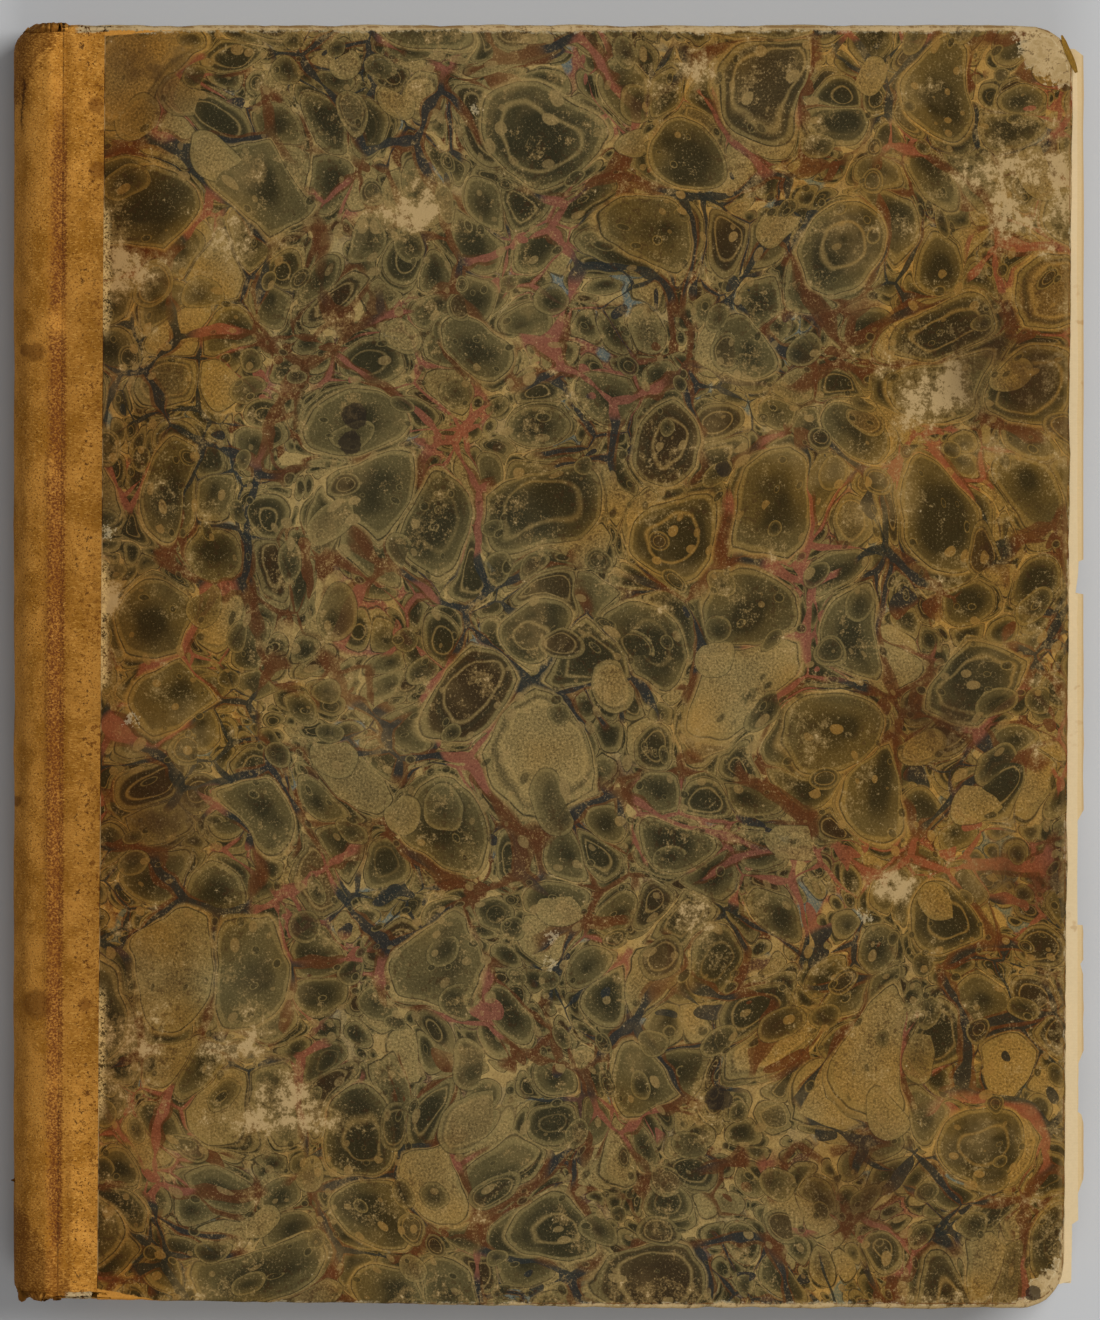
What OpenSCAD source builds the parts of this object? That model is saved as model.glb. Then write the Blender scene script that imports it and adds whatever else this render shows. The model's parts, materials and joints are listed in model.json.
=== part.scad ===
// Antique quarter-leather book: sewn leaves, laced pasteboard covers, marbled paper sides.
// The book lies shut on its back cover. +X is the fore edge, +Y the head, +Z the front cover.

/* [Leaves] */
// Height of the leaves, head to tail
leaf_h = 238; // [200:1:242]
// Width of a leaf from its fold to its fore edge
leaf_w = 197.3; // [160:0.1:230]
// Thickness of the sewn gatherings, pressed together
block_t = 18.6; // [14:0.1:26]
// Number of sewn gatherings
gatherings = 10; // [6:1:14]
// How unevenly the gatherings were cut at head, tail and fore edge
uneven = 0.5; // [0:0.05:1]
// Thickness of one bunch of flyleaves
flyleaf_t = 0.35; // [0.2:0.05:0.8]
// How far the wide flyleaf stands out past the sewn leaves
flyleaf_out = 2.3; // [1:0.1:4]
// How far the narrow flyleaf stands out past the sewn leaves
narrow_out = 0.9; // [0.2:0.1:1.8]

/* [Covers] */
// How far the covers stand past the leaves at head and tail
square = 3.5; // [2:0.1:8]
// How far a cover's fore edge stands past the sewn leaves
fore_square = 0.2; // [0:0.1:4]
// Thickness of a cover, skins included
cover_t = 3; // [2.4:0.1:5]
// Radius to which the fore corners are worn
corner_r = 9; // [4:0.5:14]
// How far the front board's fore edge leans in towards the tail
fore_slant = 1.7; // [0:0.1:3]
// How far the front board's tail drops towards the fore edge
tail_slant = 1.7; // [0:0.1:3]
// From the front board's spine edge to where its tail stops dropping
tail_run = 112; // [60:1:140]
// Thickness of the marbled paper
paper_t = 0.25; // [0.15:0.05:0.5]
// Width of the marbled paper turned in over the board's edges
paper_turn = 15; // [8:0.5:25]
// Width of the leather strip on each board at the tail, from the crease to the paper
strip_w = 7; // [6:0.1:12]
// How much wider the leather strip is at the head of the front board
strip_slant = 1.5; // [0:0.1:2]
// Thickness of the pastedown
pastedown_t = 0.2; // [0.1:0.05:0.5]
// Margin that the pastedown leaves at the board's edges
pastedown_margin = 4; // [2:0.5:8]
// Size of the bare patch at the worn head corner
head_wear = 12.5; // [8:0.5:18]
// Size of the bare patch at the worn tail corner
tail_wear = 10; // [8:0.5:14]

/* [Spine] */
// From the crease of the joint to the back of the spine
crease_to_back = 9.6; // [8:0.1:14]
// From the crease of the joint to where the round of the back starts
crease_to_round = 2.9; // [2.3:0.1:4]
// Depth of the joint's groove
groove_d = 1.2; // [0.8:0.05:1.3]
// Radius of the ridge between the round back and the groove
ridge_r = 1.6; // [1.2:0.1:2]
// Thickness of the leather
leather_t = 0.8; // [0.4:0.05:1]
// Width of the leather turned in at head and tail
leather_turn = 13; // [8:0.5:20]
// Thickness of the lining glued to the folds
lining_t = 0.4; // [0.2:0.05:0.6]
// From the end of the leaves to the end of the lining
lining_in = 3; // [1:0.5:10]

/* [Sewing] */
// From the end of the leaves to the outer sewing cords
cord_in = 57; // [40:1:80]
// Diameter of a sewing cord
cord_d = 1.1; // [0.8:0.05:1.15]
// Diameter of the sewing thread
thread_d = 0.6; // [0.3:0.05:0.8]
// Diameter of a kettle stitch's knot
knot_d = 1; // [0.85:0.05:1.2]
// From the end of the leaves to the kettle stitches
kettle_in = 12; // [8:0.5:20]
// Length of a cord's frayed end on the board
slip_len = 18; // [10:0.5:26]
// Width of the frayed end where it fans out
slip_fan = 9; // [5:0.5:14]
// Thickness of the frayed end
slip_t = 0.5; // [0.3:0.05:0.8]

/* [Clearances] */
// Gap between the leaves and a shut cover
leaf_gap = 0.1; // [0.05:0.05:0.3]
// Gap in the leather at the crease, where a cover turns
crease_gap = 0.3; // [0.2:0.05:0.5]
// Gap from the crease to the spine edge of a board
board_gap = 0.9; // [0.6:0.1:1.5]
// Width of the bevel on a board's spine edge
board_bevel = 1.2; // [0.8:0.1:1.8]
// Play of a cord in its sawn slot and of its frayed end in the board
slot_play = 0.05; // [0.02:0.01:0.1]
// Film of paste under the lining and under the leather on the back
paste_t = 0.05; // [0.02:0.01:0.1]
// Gap between the leaves and the leather folded over at head and tail
cap_gap = 0.3; // [0.1:0.1:1]

/* [Hidden] */

leaves_t = block_t + 4 * flyleaf_t;
inner_z = cover_t + pastedown_t + leaf_gap;
book_t = leaves_t + 2 * inner_z;
mid_z = book_t / 2;

// The round of the back, seen from the tail, is an arc between the two ridges.
half_chord = mid_z - groove_d / 3;
rise = crease_to_back - crease_to_round;
back_r = (half_chord * half_chord + rise * rise) / (2 * rise);
back_angle = asin(half_chord / back_r);
lining_r = back_r - leather_t - paste_t;
fold_r = lining_r - lining_t - paste_t;
fold_angle = back_angle - 3;
fold_depth = 0.6;

fold_to_crease = fold_r * cos(fold_angle) - back_r + crease_to_back;
sewn_fore = leaf_w - fold_to_crease;
overall_w = crease_to_back + sewn_fore + flyleaf_out;
crease_x = crease_to_back - overall_w / 2;
back_x = crease_x - crease_to_back + back_r;
board_x = crease_x + board_gap;
paper_x = crease_x + strip_w;
fore_x = crease_x + sewn_fore;
board_w = fore_x + fore_square - board_x;
board_h = leaf_h + 2 * square;

head_y = (board_h + tail_slant) / 2;
tail_y = head_y - board_h;
spine_y = (head_y + tail_y) / 2;
far = 2 * (overall_w + board_h);

cord_z = (groove_d + leather_t + inner_z) / 2;
cord_r = fold_r - cord_d / 2 - slot_play;
cord_end_z = mid_z - cord_z;
cord_angle = asin(cord_end_z / cord_r);
cord_y = leaf_h / 2 - cord_in;
cord_stations = [cord_y, 0, -cord_y];
kettle_r = fold_r - knot_d / 2 - slot_play;
kettle_y = leaf_h / 2 - kettle_in;
knot_angle = 2;

leather_colour = [0.66, 0.44, 0.17];
marbled_colour = [0.36, 0.30, 0.16];
pasteboard_colour = [0.66, 0.55, 0.38];
leaf_colour = [0.87, 0.78, 0.58];
lining_colour = [0.80, 0.74, 0.60];
cord_colour = [0.72, 0.62, 0.42];

// Chips along the fore edge of the wide flyleaf: from and to as shares of the leaf's height from
// its head, how much of the leaf is left past the sewn leaves, and how much of the chip each side takes.
chips = [
    [0.414, 0.441, 0.75, 0.08, 0.85],
    [0.618, 0.71, 0.4, 0.14, 0.03],
    [0.737, 0.75, 1.8, 0.3, 0.5],
    [0.813, 0.861, 0.5, 0.22, 0.09]
];
wide_start = 0.018;
wide_end = 0.924;
narrow_start = 0.555;
narrow_end = 0.95;
dog_ear = [9, 3.4];

function unit(v) = v / norm(v);
function arc(c, r, a0, a1, n) = [for (i = [0:n]) let (a = a0 + (a1 - a0) * i / n) c + r * [cos(a), sin(a)]];
function turned(a) = a > 180 ? a - 360 : a < -180 ? a + 360 : a;
function fillet(before, corner, after, r, n = 8) =
    let (
        u = unit(before - corner),
        v = unit(after - corner),
        half = acos(u * v) / 2,
        c = corner + unit(u + v) * r / sin(half),
        from = corner + u * r / tan(half) - c,
        to = corner + v * r / tan(half) - c,
        a0 = atan2(from.y, from.x),
        sweep = turned(atan2(to.y, to.x) - a0)
    )
    arc(c, r, a0, a0 + sweep, n);
function smooth(t) = t * t * (3 - 2 * t);
function wobble(i, seed) = uneven * sin(137.5 * i + seed);

// The line of the leather's outer face from the middle of the back to the crease, moved in by depth.
// Points are [x, height above the middle of the book].
ridge_c = [back_x - (back_r - ridge_r) * cos(back_angle), (back_r - ridge_r) * sin(back_angle)];
crease_p = [crease_x - crease_gap / 2, mid_z - groove_d];
to_crease = crease_p - ridge_c;
wall_angle = atan2(to_crease.y, to_crease.x) + acos(ridge_r / norm(to_crease));
wall_normal = [cos(wall_angle), sin(wall_angle)];
function half_back(depth) = concat(
    arc([back_x, 0], back_r - depth, 180, 180 - back_angle, 22),
    arc(ridge_c, ridge_r - depth, 180 - back_angle - 8, wall_angle, 8),
    [crease_p - [0, depth / wall_normal.y]]
);
function mirrored(points) = [for (i = [len(points) - 1:-1:0]) [points[i].x, -points[i].y]];
function reversed(points) = [for (i = [len(points) - 1:-1:0]) points[i]];
function whole_back(depth) = concat(mirrored(half_back(depth)), half_back(depth));

// Places a drawing of [x, height above the middle] upright and draws it out from one end to the other.
module drawn_along(y0, y1) {
    translate([0, y1, mid_z]) rotate([90, 0, 0]) linear_extrude(y1 - y0) children();
}

// A gathering lies flat and fans out to its place on the rounded back, where its fold is round.
function level(k) = -block_t / 2 + block_t * k / gatherings;
function fold_at(k) = -fold_angle + 2 * fold_angle * k / gatherings;
function on_back(r, a) = [back_x - r * cos(a), r * sin(a)];
function valley(k) = on_back(fold_r - fold_depth, fold_at(k));
bend_x = crease_x - 0.3;
function side(k) = let (v = valley(k)) concat(
    [[bend_x, level(k)]],
    [for (t = [1:4]) let (s = t / 4) [bend_x + (v.x - bend_x) * s, level(k) + (v.y - level(k)) * smooth(s)]]
);
function fold(k) = [for (t = [1:5])
    let (s = t / 6) on_back(fold_r - fold_depth * (1 - sin(180 * s)), fold_at(k) + (fold_at(k + 1) - fold_at(k)) * s)];
function fore_of(k) = let (p = on_back(fold_r, fold_at(k + 0.5))) p.x + leaf_w - abs(wobble(k, 20));

module gathering(k) {
    drawn_along(-leaf_h / 2 + abs(wobble(k, 80)), leaf_h / 2 - abs(wobble(k, 40)))
        polygon(concat(
            [[fore_of(k), level(k)]], side(k), fold(k), reversed(side(k + 1)), [[fore_of(k), level(k + 1)]]
        ));
}

// A flyleaf is tipped on beside the joint. Its fore edge is broken away at each chip.
module flyleaf(out, start, end, broken, z) {
    x = fore_x + out;
    first = start * leaf_h;
    last = end * leaf_h;
    edge = [for (c = broken) let (y0 = c[0] * leaf_h, y1 = c[1] * leaf_h, run = y1 - y0) for (p = [
        [x, y0], [fore_x + c[2], y0 + c[3] * run], [fore_x + c[2], y1 - c[4] * run], [x, y1]
    ]) p];
    outline = concat(
        [[board_x + 1, 0], [fore_x - dog_ear.x, 0], [fore_x, dog_ear.y], [x, first]],
        edge,
        [[x, last - 2], [fore_x, last], [fore_x, leaf_h - 1], [fore_x - 3, leaf_h], [board_x + 1, leaf_h]]
    );
    translate([0, 0, z]) linear_extrude(flyleaf_t) polygon([for (p = outline) [p.x, leaf_h / 2 - p.y]]);
}

// The slot sawn across the folds for a cord or for the kettle stitches.
module sawn_slot(y, r, d, end_angle) {
    inner = r - d / 2 - slot_play;
    drawn_along(y - d / 2 - slot_play, y + d / 2 + slot_play)
        polygon(concat(
            arc([back_x, 0], back_r, 180 - end_angle, 180 + end_angle, 30),
            arc([back_x, 0], inner, 180 + end_angle, 180 - end_angle, 30)
        ));
}
module shoulder_slot(y) {
    half = cord_d / 2 + slot_play;
    for (s = [-1, 1])
        translate([cord_arc_x, y - half, mid_z + s * cord_end_z - half]) cube([far, 2 * half, 2 * half]);
}
cord_arc_x = back_x - cord_r * cos(cord_angle);

module text_block() {
    color(leaf_colour) difference() {
        union() {
            for (k = [0:gatherings - 1]) gathering(k);
            flyleaf(flyleaf_out, wide_start, wide_end, chips, mid_z + block_t / 2);
            flyleaf(narrow_out, narrow_start, narrow_end, [], mid_z + block_t / 2 + flyleaf_t);
            for (n = [1, 2]) flyleaf(narrow_out, wide_start, wide_end, [], mid_z - block_t / 2 - n * flyleaf_t);
        }
        for (y = cord_stations) {
            sawn_slot(y, cord_r, cord_d, back_angle + 2);
            intersection() {
                shoulder_slot(y);
                translate([-far, -far, 0]) cube([far + board_x, 2 * far, book_t]);
            }
        }
        for (y = [kettle_y, -kettle_y]) sawn_slot(y, kettle_r, knot_d, back_angle + 2);
    }
}

module spine_lining() {
    color(lining_colour) drawn_along(lining_in - leaf_h / 2, leaf_h / 2 - lining_in)
        polygon(concat(
            arc([back_x, 0], lining_r, 180 - fold_angle, 180 + fold_angle, 36),
            arc([back_x, 0], lining_r - lining_t, 180 + fold_angle, 180 - fold_angle, 36)
        ));
}

// The leather on the back runs from crease to crease, and is folded double past the leaves.
module spine_leather() {
    color(leather_colour) {
        drawn_along(tail_y, head_y) polygon(concat(whole_back(0), reversed(whole_back(leather_t))));
        for (ends = [[tail_y, -leaf_h / 2 - cap_gap], [leaf_h / 2 + cap_gap, head_y]])
            drawn_along(ends[0], ends[1])
                polygon(concat(
                    arc([back_x, 0], back_r - leather_t / 2, 180 - fold_angle, 180 + fold_angle, 36),
                    arc([back_x, 0], back_r - 2 * leather_t, 180 + fold_angle, 180 - fold_angle, 36)
                ));
    }
}

// A cord lies in its slot round the back and leaves it at both shoulders for the boards.
// at is the angle from the middle of the back.
module bent_round(y, r, at, half_angle, d) {
    translate([back_x, y, mid_z]) rotate([90, 0, 0]) rotate([0, 0, 180 - at - half_angle])
        rotate_extrude(angle = 2 * half_angle, $fn = 96) translate([r, 0]) circle(d = d, $fn = 24);
}
module sewing_cord(y) {
    color(cord_colour) {
        bent_round(y, cord_r, 0, cord_angle, cord_d);
        for (s = [-1, 1]) translate([cord_arc_x, y, mid_z + s * cord_end_z]) {
            sphere(d = cord_d + slot_play, $fn = 24);
            rotate([0, 90, 0]) cylinder(h = crease_x - crease_gap - cord_arc_x, d = cord_d, $fn = 24);
        }
    }
}

// The thread that links the gatherings is knotted in each valley between two folds.
module kettle_stitch(y) {
    color(lining_colour) {
        bent_round(y, kettle_r, 0, fold_angle - 2, thread_d);
        for (k = [1:gatherings - 1]) bent_round(y, kettle_r, fold_at(k), knot_angle, knot_d);
    }
}

// Covers are drawn outer face down at height 0, which is how the back one lies.
// lean is [fore slant, tail slant, paper slant] of the cover that is drawn.
front_lean = [fore_slant, tail_slant, strip_slant];
back_lean = [0, 0, 0];
module as_front() {
    translate([0, 0, book_t]) mirror([0, 0, 1]) children();
}

function plan(inset, x0, lean) =
    let (
        x1 = board_x + board_w - inset,
        head = head_y - inset,
        tail = tail_y + inset,
        low = [board_x + tail_run, tail - lean[1]],
        corners = [[x0, head], [x1, head], [x1 - lean[0], tail - lean[1]], [x0, tail]]
    )
    concat(
        [corners[0]],
        fillet(corners[0], corners[1], corners[2], corner_r - inset),
        fillet(corners[1], corners[2], low, corner_r - inset),
        lean[1] > 0 ? [low] : [],
        [corners[3]]
    );

// A skin wrapped round the head, tail and fore edges of the cover and turned in on its inner face.
module skin(t, turn, lean) {
    difference() {
        linear_extrude(cover_t) polygon(plan(0, board_x, lean));
        translate([0, 0, t]) linear_extrude(cover_t - 2 * t) polygon(plan(t, board_x - 1, lean));
        translate([0, 0, t]) linear_extrude(cover_t) polygon(plan(turn, board_x - 1, lean));
    }
}

// The line between leather and paper, which leans on the front cover.
module leather_side(lean) {
    translate([0, 0, -far]) linear_extrude(2 * far) polygon([
        [crease_x - 1, -far], [crease_x - 1, far],
        [paper_x + lean[2] / 2 * (1 + (far - spine_y) / head_y), far],
        [paper_x + lean[2] / 2 * (1 + (-far - spine_y) / head_y), -far]
    ]);
}

groove_slope = groove_d / (board_gap + board_bevel - crease_gap / 2);
function groove_z(x) = groove_slope * (board_x + board_bevel - x);
// Draws a section of [x, height] out between two distances from the tail.
module across(y0, y1, points) {
    translate([0, y1, 0]) rotate([90, 0, 0]) linear_extrude(y1 - y0) polygon(points);
}

// The leather dips into the groove, and is turned in over the board at head and tail.
// spare is how far the layers reach out past the cover, which the board's cut needs.
module leather_layers(lean, spare) {
    x0 = crease_x + crease_gap / 2;
    x1 = board_x + board_bevel;
    x2 = board_x + 2 * strip_w;
    flap_z = cover_t - leather_t;
    top = cover_t + spare;
    intersection() {
        leather_side(lean);
        union() {
            across(tail_y - spare, head_y + spare, [
                [x0, groove_z(x0) - spare], [x1, -spare], [x2, -spare],
                [x2, leather_t], [x1, leather_t], [x0, groove_z(x0) + leather_t]
            ]);
            for (ends = [[tail_y - spare, tail_y + leather_t], [head_y - leather_t, head_y + spare]])
                across(ends[0], ends[1], [
                    [board_x - spare / 2, groove_z(board_x) - spare], [x1, -spare], [x2, -spare],
                    [x2, top], [board_x - spare / 2, top]
                ]);
            for (ends = [[tail_y - spare, tail_y + leather_turn], [head_y - leather_turn, head_y + spare]])
                across(ends[0], ends[1],
                    [[board_x - spare / 2, flap_z], [x2, flap_z], [x2, top], [board_x - spare / 2, top]]);
        }
    }
}
module cover_leather(lean) {
    color(leather_colour) leather_layers(lean, 0);
}

// The fore corners are rubbed down to the bare board along a ragged line.
module worn_corner(corner, size, up) {
    steps = [[1, -0.15], [0.86, 0.2], [0.62, 0.42], [0.47, 0.55], [0.24, 0.66], [0.1, 0.95], [-0.15, 1]];
    translate([corner.x, corner.y, -1]) linear_extrude(cover_t + 2)
        polygon(concat([for (s = steps) [-s[0] * size, -up * s[1] * size]], [[size, -up * size], [size, up * size], [-size, up * size]]));
}

module cover_paper(lean) {
    fore = board_x + board_w;
    color(marbled_colour) difference() {
        skin(paper_t, paper_turn, lean);
        leather_side(lean);
        worn_corner([fore, head_y], head_wear, 1);
        worn_corner([fore - lean[0], tail_y - lean[1]], tail_wear, -1);
    }
}

// The frayed end of a cord is pasted down in a bed inside the board. Both fan out from the same neck.
neck_x = board_x + slip_len / 3;
neck_half = 0.8 * cord_d;
function fan(play) = [
    [board_x - play, cord_d / 2 + play], [neck_x, neck_half + 2 * play],
    [board_x + slip_len + play, slip_fan / 2 + 2 * play]
];
module fan_plate(y, play, end) {
    side = fan(play);
    translate([0, y, cover_t - slip_t]) linear_extrude(slip_t)
        polygon(concat(side, end, [for (i = [2:-1:0]) [side[i].x, -side[i].y]]));
}
module frayed_end(y) {
    teeth = 6;
    half = slip_fan / 2;
    fan_plate(y, 0, [for (i = [1:2 * teeth - 1])
        [board_x + slip_len * (1 - (i % 2) / 8), half - half * i / teeth]]);
}
module slip(y) {
    x0 = crease_x + crease_gap;
    color(cord_colour) {
        frayed_end(y);
        translate([x0, y, cord_z]) rotate([0, 90, 0]) cylinder(h = board_x - x0, d = cord_d, $fn = 24);
    }
}

module cover_board(lean) {
    color(pasteboard_colour) difference() {
        translate([0, 0, paper_t]) linear_extrude(cover_t - paper_t) polygon(plan(paper_t, board_x, lean));
        leather_layers(lean, board_gap);
        cover_paper(lean);
        for (y = cord_stations) fan_plate(y, slot_play, []);
    }
}

module cover_pastedown(lean) {
    color(leaf_colour) translate([0, 0, cover_t])
        linear_extrude(pastedown_t) polygon(plan(pastedown_margin, board_x + 0.5, lean));
}

text_block();
spine_lining();
spine_leather();
sewing_cord(cord_stations[0]);  // sewing_cord_head
sewing_cord(cord_stations[1]);  // sewing_cord_middle
sewing_cord(cord_stations[2]);  // sewing_cord_tail
kettle_stitch(kettle_y);  // kettle_stitch_head
kettle_stitch(-kettle_y);  // kettle_stitch_tail
as_front() cover_board(front_lean);  // front_board
as_front() cover_paper(front_lean);  // front_marbled_paper
as_front() cover_leather(front_lean);  // front_leather
as_front() cover_pastedown(front_lean);  // front_pastedown
as_front() slip(cord_stations[0]);  // front_slip_head
as_front() slip(cord_stations[1]);  // front_slip_middle
as_front() slip(cord_stations[2]);  // front_slip_tail
cover_board(back_lean);  // back_board
cover_paper(back_lean);  // back_marbled_paper
cover_leather(back_lean);  // back_leather
cover_pastedown(back_lean);  // back_pastedown
slip(cord_stations[0]);  // back_slip_head
slip(cord_stations[1]);  // back_slip_middle
slip(cord_stations[2]);  // back_slip_tail
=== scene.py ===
"""The looks of an old quarter-leather book: suede calf back, marbled sides, worn boards, sewn leaves."""

import json
import math
import random
from types import SimpleNamespace

import bmesh
import bpy
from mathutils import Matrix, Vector, noise

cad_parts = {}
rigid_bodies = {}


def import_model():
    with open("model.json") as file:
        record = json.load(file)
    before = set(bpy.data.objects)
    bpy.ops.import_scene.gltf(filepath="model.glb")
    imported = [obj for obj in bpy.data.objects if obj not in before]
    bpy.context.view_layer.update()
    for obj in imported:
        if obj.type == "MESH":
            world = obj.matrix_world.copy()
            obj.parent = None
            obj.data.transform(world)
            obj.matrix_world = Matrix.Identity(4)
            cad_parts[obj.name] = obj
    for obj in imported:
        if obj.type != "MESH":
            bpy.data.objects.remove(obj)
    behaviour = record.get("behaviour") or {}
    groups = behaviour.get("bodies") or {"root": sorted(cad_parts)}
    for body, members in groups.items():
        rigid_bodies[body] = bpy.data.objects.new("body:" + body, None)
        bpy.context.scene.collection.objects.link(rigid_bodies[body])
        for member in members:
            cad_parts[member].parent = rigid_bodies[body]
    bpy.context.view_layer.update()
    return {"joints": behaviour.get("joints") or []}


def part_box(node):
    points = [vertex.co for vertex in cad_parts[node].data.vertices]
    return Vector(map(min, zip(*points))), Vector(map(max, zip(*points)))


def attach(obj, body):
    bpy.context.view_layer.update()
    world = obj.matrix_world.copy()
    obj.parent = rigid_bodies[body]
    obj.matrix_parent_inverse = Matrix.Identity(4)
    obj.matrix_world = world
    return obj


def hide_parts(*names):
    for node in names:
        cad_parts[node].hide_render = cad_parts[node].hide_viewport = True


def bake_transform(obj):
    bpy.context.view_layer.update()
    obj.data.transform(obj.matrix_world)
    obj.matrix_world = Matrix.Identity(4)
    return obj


bl_info = {
    "name": "Antique Leather Book",
    "version": (1, 0, 0),
    "blender": (4, 5, 0),
    "location": "3D View > Sidebar > Book",
    "description": "Builds an old sewn book with a leather back and marbled sides on its packed frame",
    "category": "Object",
}

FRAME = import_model()
MM = 0.001


def node_box(name):
    """The lowest and highest corner of a CAD node, in millimetres."""
    low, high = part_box(name)
    return low / MM, high / MM


# Where the creases of both joints lie.
CREASE = FRAME["joints"][0]["pos_m"][0] / MM
SPINE_LOW, SPINE_HIGH = node_box("spine_leather")
BOARD_LOW = node_box("front_board")[0]
LEAVES_LOW, LEAVES_HIGH = node_box("text_block")
TOP = node_box("front_marbled_paper")[1].z
MIDDLE = TOP / 2
HEAD, TAIL = SPINE_HIGH.y, SPINE_LOW.y

# The crease leans in towards the head. The marbled paper covers the leather from PAPER_X on, on a lean.
CREASE_LEAN = 0.0048
PAPER_X = CREASE + 7.0
FRONT_LEAN = node_box("front_leather")[1].x - PAPER_X
# How far the front board's fore edge leans, and how long the straight part of its tail edge is.
FRONT_SLANT = 1.7
TAIL_RUN = 112.0

# How far the corners of the back are worn in at head and tail.
HEAD_ROUND, TAIL_ROUND = 4.4, 2.8

# The round of the folds, as in the frame, and how far out the sewn leaves reach.
FOLD_RADIUS = 14.47
FOLD_ANGLE = math.radians(51.9)
BACK_X = SPINE_LOW.x + 15.77
SEWN_FORE = LEAVES_HIGH.x - 2.3


# ---------------------------------------------------------------- sizes and colours


def size(name, what, default, low=0.0):
    return bpy.props.FloatProperty(name=name, description=what, default=default * MM,
                                   min=low * MM, unit="LENGTH", precision=4)


def colour(name, what, default):
    """A colour given as it looks on a screen, from 0 to 255."""
    return bpy.props.FloatVectorProperty(name=name, description=what, subtype="COLOR", size=3,
                                         min=0, max=1, default=linear(default))


def linear(rgb):
    return tuple((c / 255 / 12.92) if c <= 10 else ((c / 255 + 0.055) / 1.055) ** 2.4 for c in rgb)


class BookSizes(bpy.types.PropertyGroup):
    """Sizes that a user of the book might change."""

    leather: size("Leather", "Thickness of the leather", 0.75)
    shoulder: size("Shoulder", "From the crease of a joint to where the round of the back starts", 2.9)
    ridge: size("Ridge", "Radius of the ridge beside a joint", 1.6)
    groove: size("Groove", "Depth of the groove in a joint", 0.8)
    worn_rim: size("Worn rim", "Rounding worn on to the rims of the boards", 0.7)
    corner: size("Corner", "Radius to which the fore corners are worn", 8.5)
    ragged: size("Ragged edges", "How far the edges of the boards are frayed", 0.35)
    leaf: size("Flyleaf", "Thickness of a bunch of flyleaves", 0.35)
    uneven: size("Uneven leaves", "How far small bunches of leaves stand out from each other", 0.45)
    cockle: size("Cockling", "Height of the waves in the old leaves", 0.25)
    gatherings: bpy.props.IntProperty(name="Gatherings", description="Number of sewn gatherings", default=10)
    bunches: bpy.props.IntProperty(name="Bunches", description="Bunches of leaves in a gathering", default=4)


class BookColours(bpy.types.PropertyGroup):
    """Colours of the leather, paper and boards."""

    calf: colour("Calf", "The clean leather", (188, 130, 55))
    calf_deep: colour("Deep calf", "The leather where it is rubbed or shaded", (148, 97, 31))
    # The calf stain colour also paints shade: in the gaps between leaves on their cut edges and along the
    # outer edge of the back.
    calf_stain: colour("Calf stain", "Old stains at the ends of the spine", (98, 54, 15))
    joint_dirt: colour("Joint dirt", "Dirt and red rot in the joint", (96, 50, 22))
    olive: colour("Olive", "The dark middle of the marbled drops", (50, 44, 25))
    sand: colour("Sand", "The tan ground of the marbling", (154, 126, 74))
    rust: colour("Rust", "Brown veins", (86, 50, 25))
    rose: colour("Rose", "Red veins", (124, 74, 54))
    navy: colour("Navy", "Blue-black veins", (42, 43, 38))
    smoke: colour("Smoke", "Grey-blue veins", (92, 102, 94))
    board: colour("Pasteboard", "Bare board where the paper is rubbed off", (186, 160, 116))
    page: colour("Leaves", "Old laid paper", (224, 204, 164))
    page_edge: colour("Leaf edges", "Browned edges of the leaves", (188, 158, 110))
    cord: colour("Cord", "Hemp cords and linen thread", (176, 150, 104))


# ---------------------------------------------------------------- shader arithmetic


def forward(operation):
    return lambda self, other: self._op(operation, self, other)


def reflected(operation):
    return lambda self, other: self._op(operation, other, self)


class Wire:
    """A value in a material. Sums on it add Math nodes, so that patterns read as Python."""

    def __init__(self, paint, socket):
        self.paint, self.socket = paint, socket

    def _op(self, operation, *values):
        return self.paint.add("ShaderNodeMath", {"operation": operation}, list(values))

    __add__, __radd__ = forward("ADD"), reflected("ADD")
    __sub__, __rsub__ = forward("SUBTRACT"), reflected("SUBTRACT")
    __mul__, __rmul__ = forward("MULTIPLY"), reflected("MULTIPLY")
    __truediv__, __rtruediv__ = forward("DIVIDE"), reflected("DIVIDE")
    least, most, above = forward("MINIMUM"), forward("MAXIMUM"), forward("GREATER_THAN")

    def __abs__(self):
        return self._op("ABSOLUTE", self)

    def root(self):
        return self._op("SQRT", self)

    def square(self):
        return self * self

    def rise(self, low, high):
        """0 before low, 1 after high, smooth between; high may be the lower one."""
        return self.paint.add("ShaderNodeMapRange", {"interpolation_type": "SMOOTHSTEP"},
                              {"Value": self, "From Min": low, "From Max": high})

    def peak(self, at, width):
        """1 where the value is at, falling to 0 a width away on both sides."""
        return abs(self - at).rise(width, 0.0)


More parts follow.
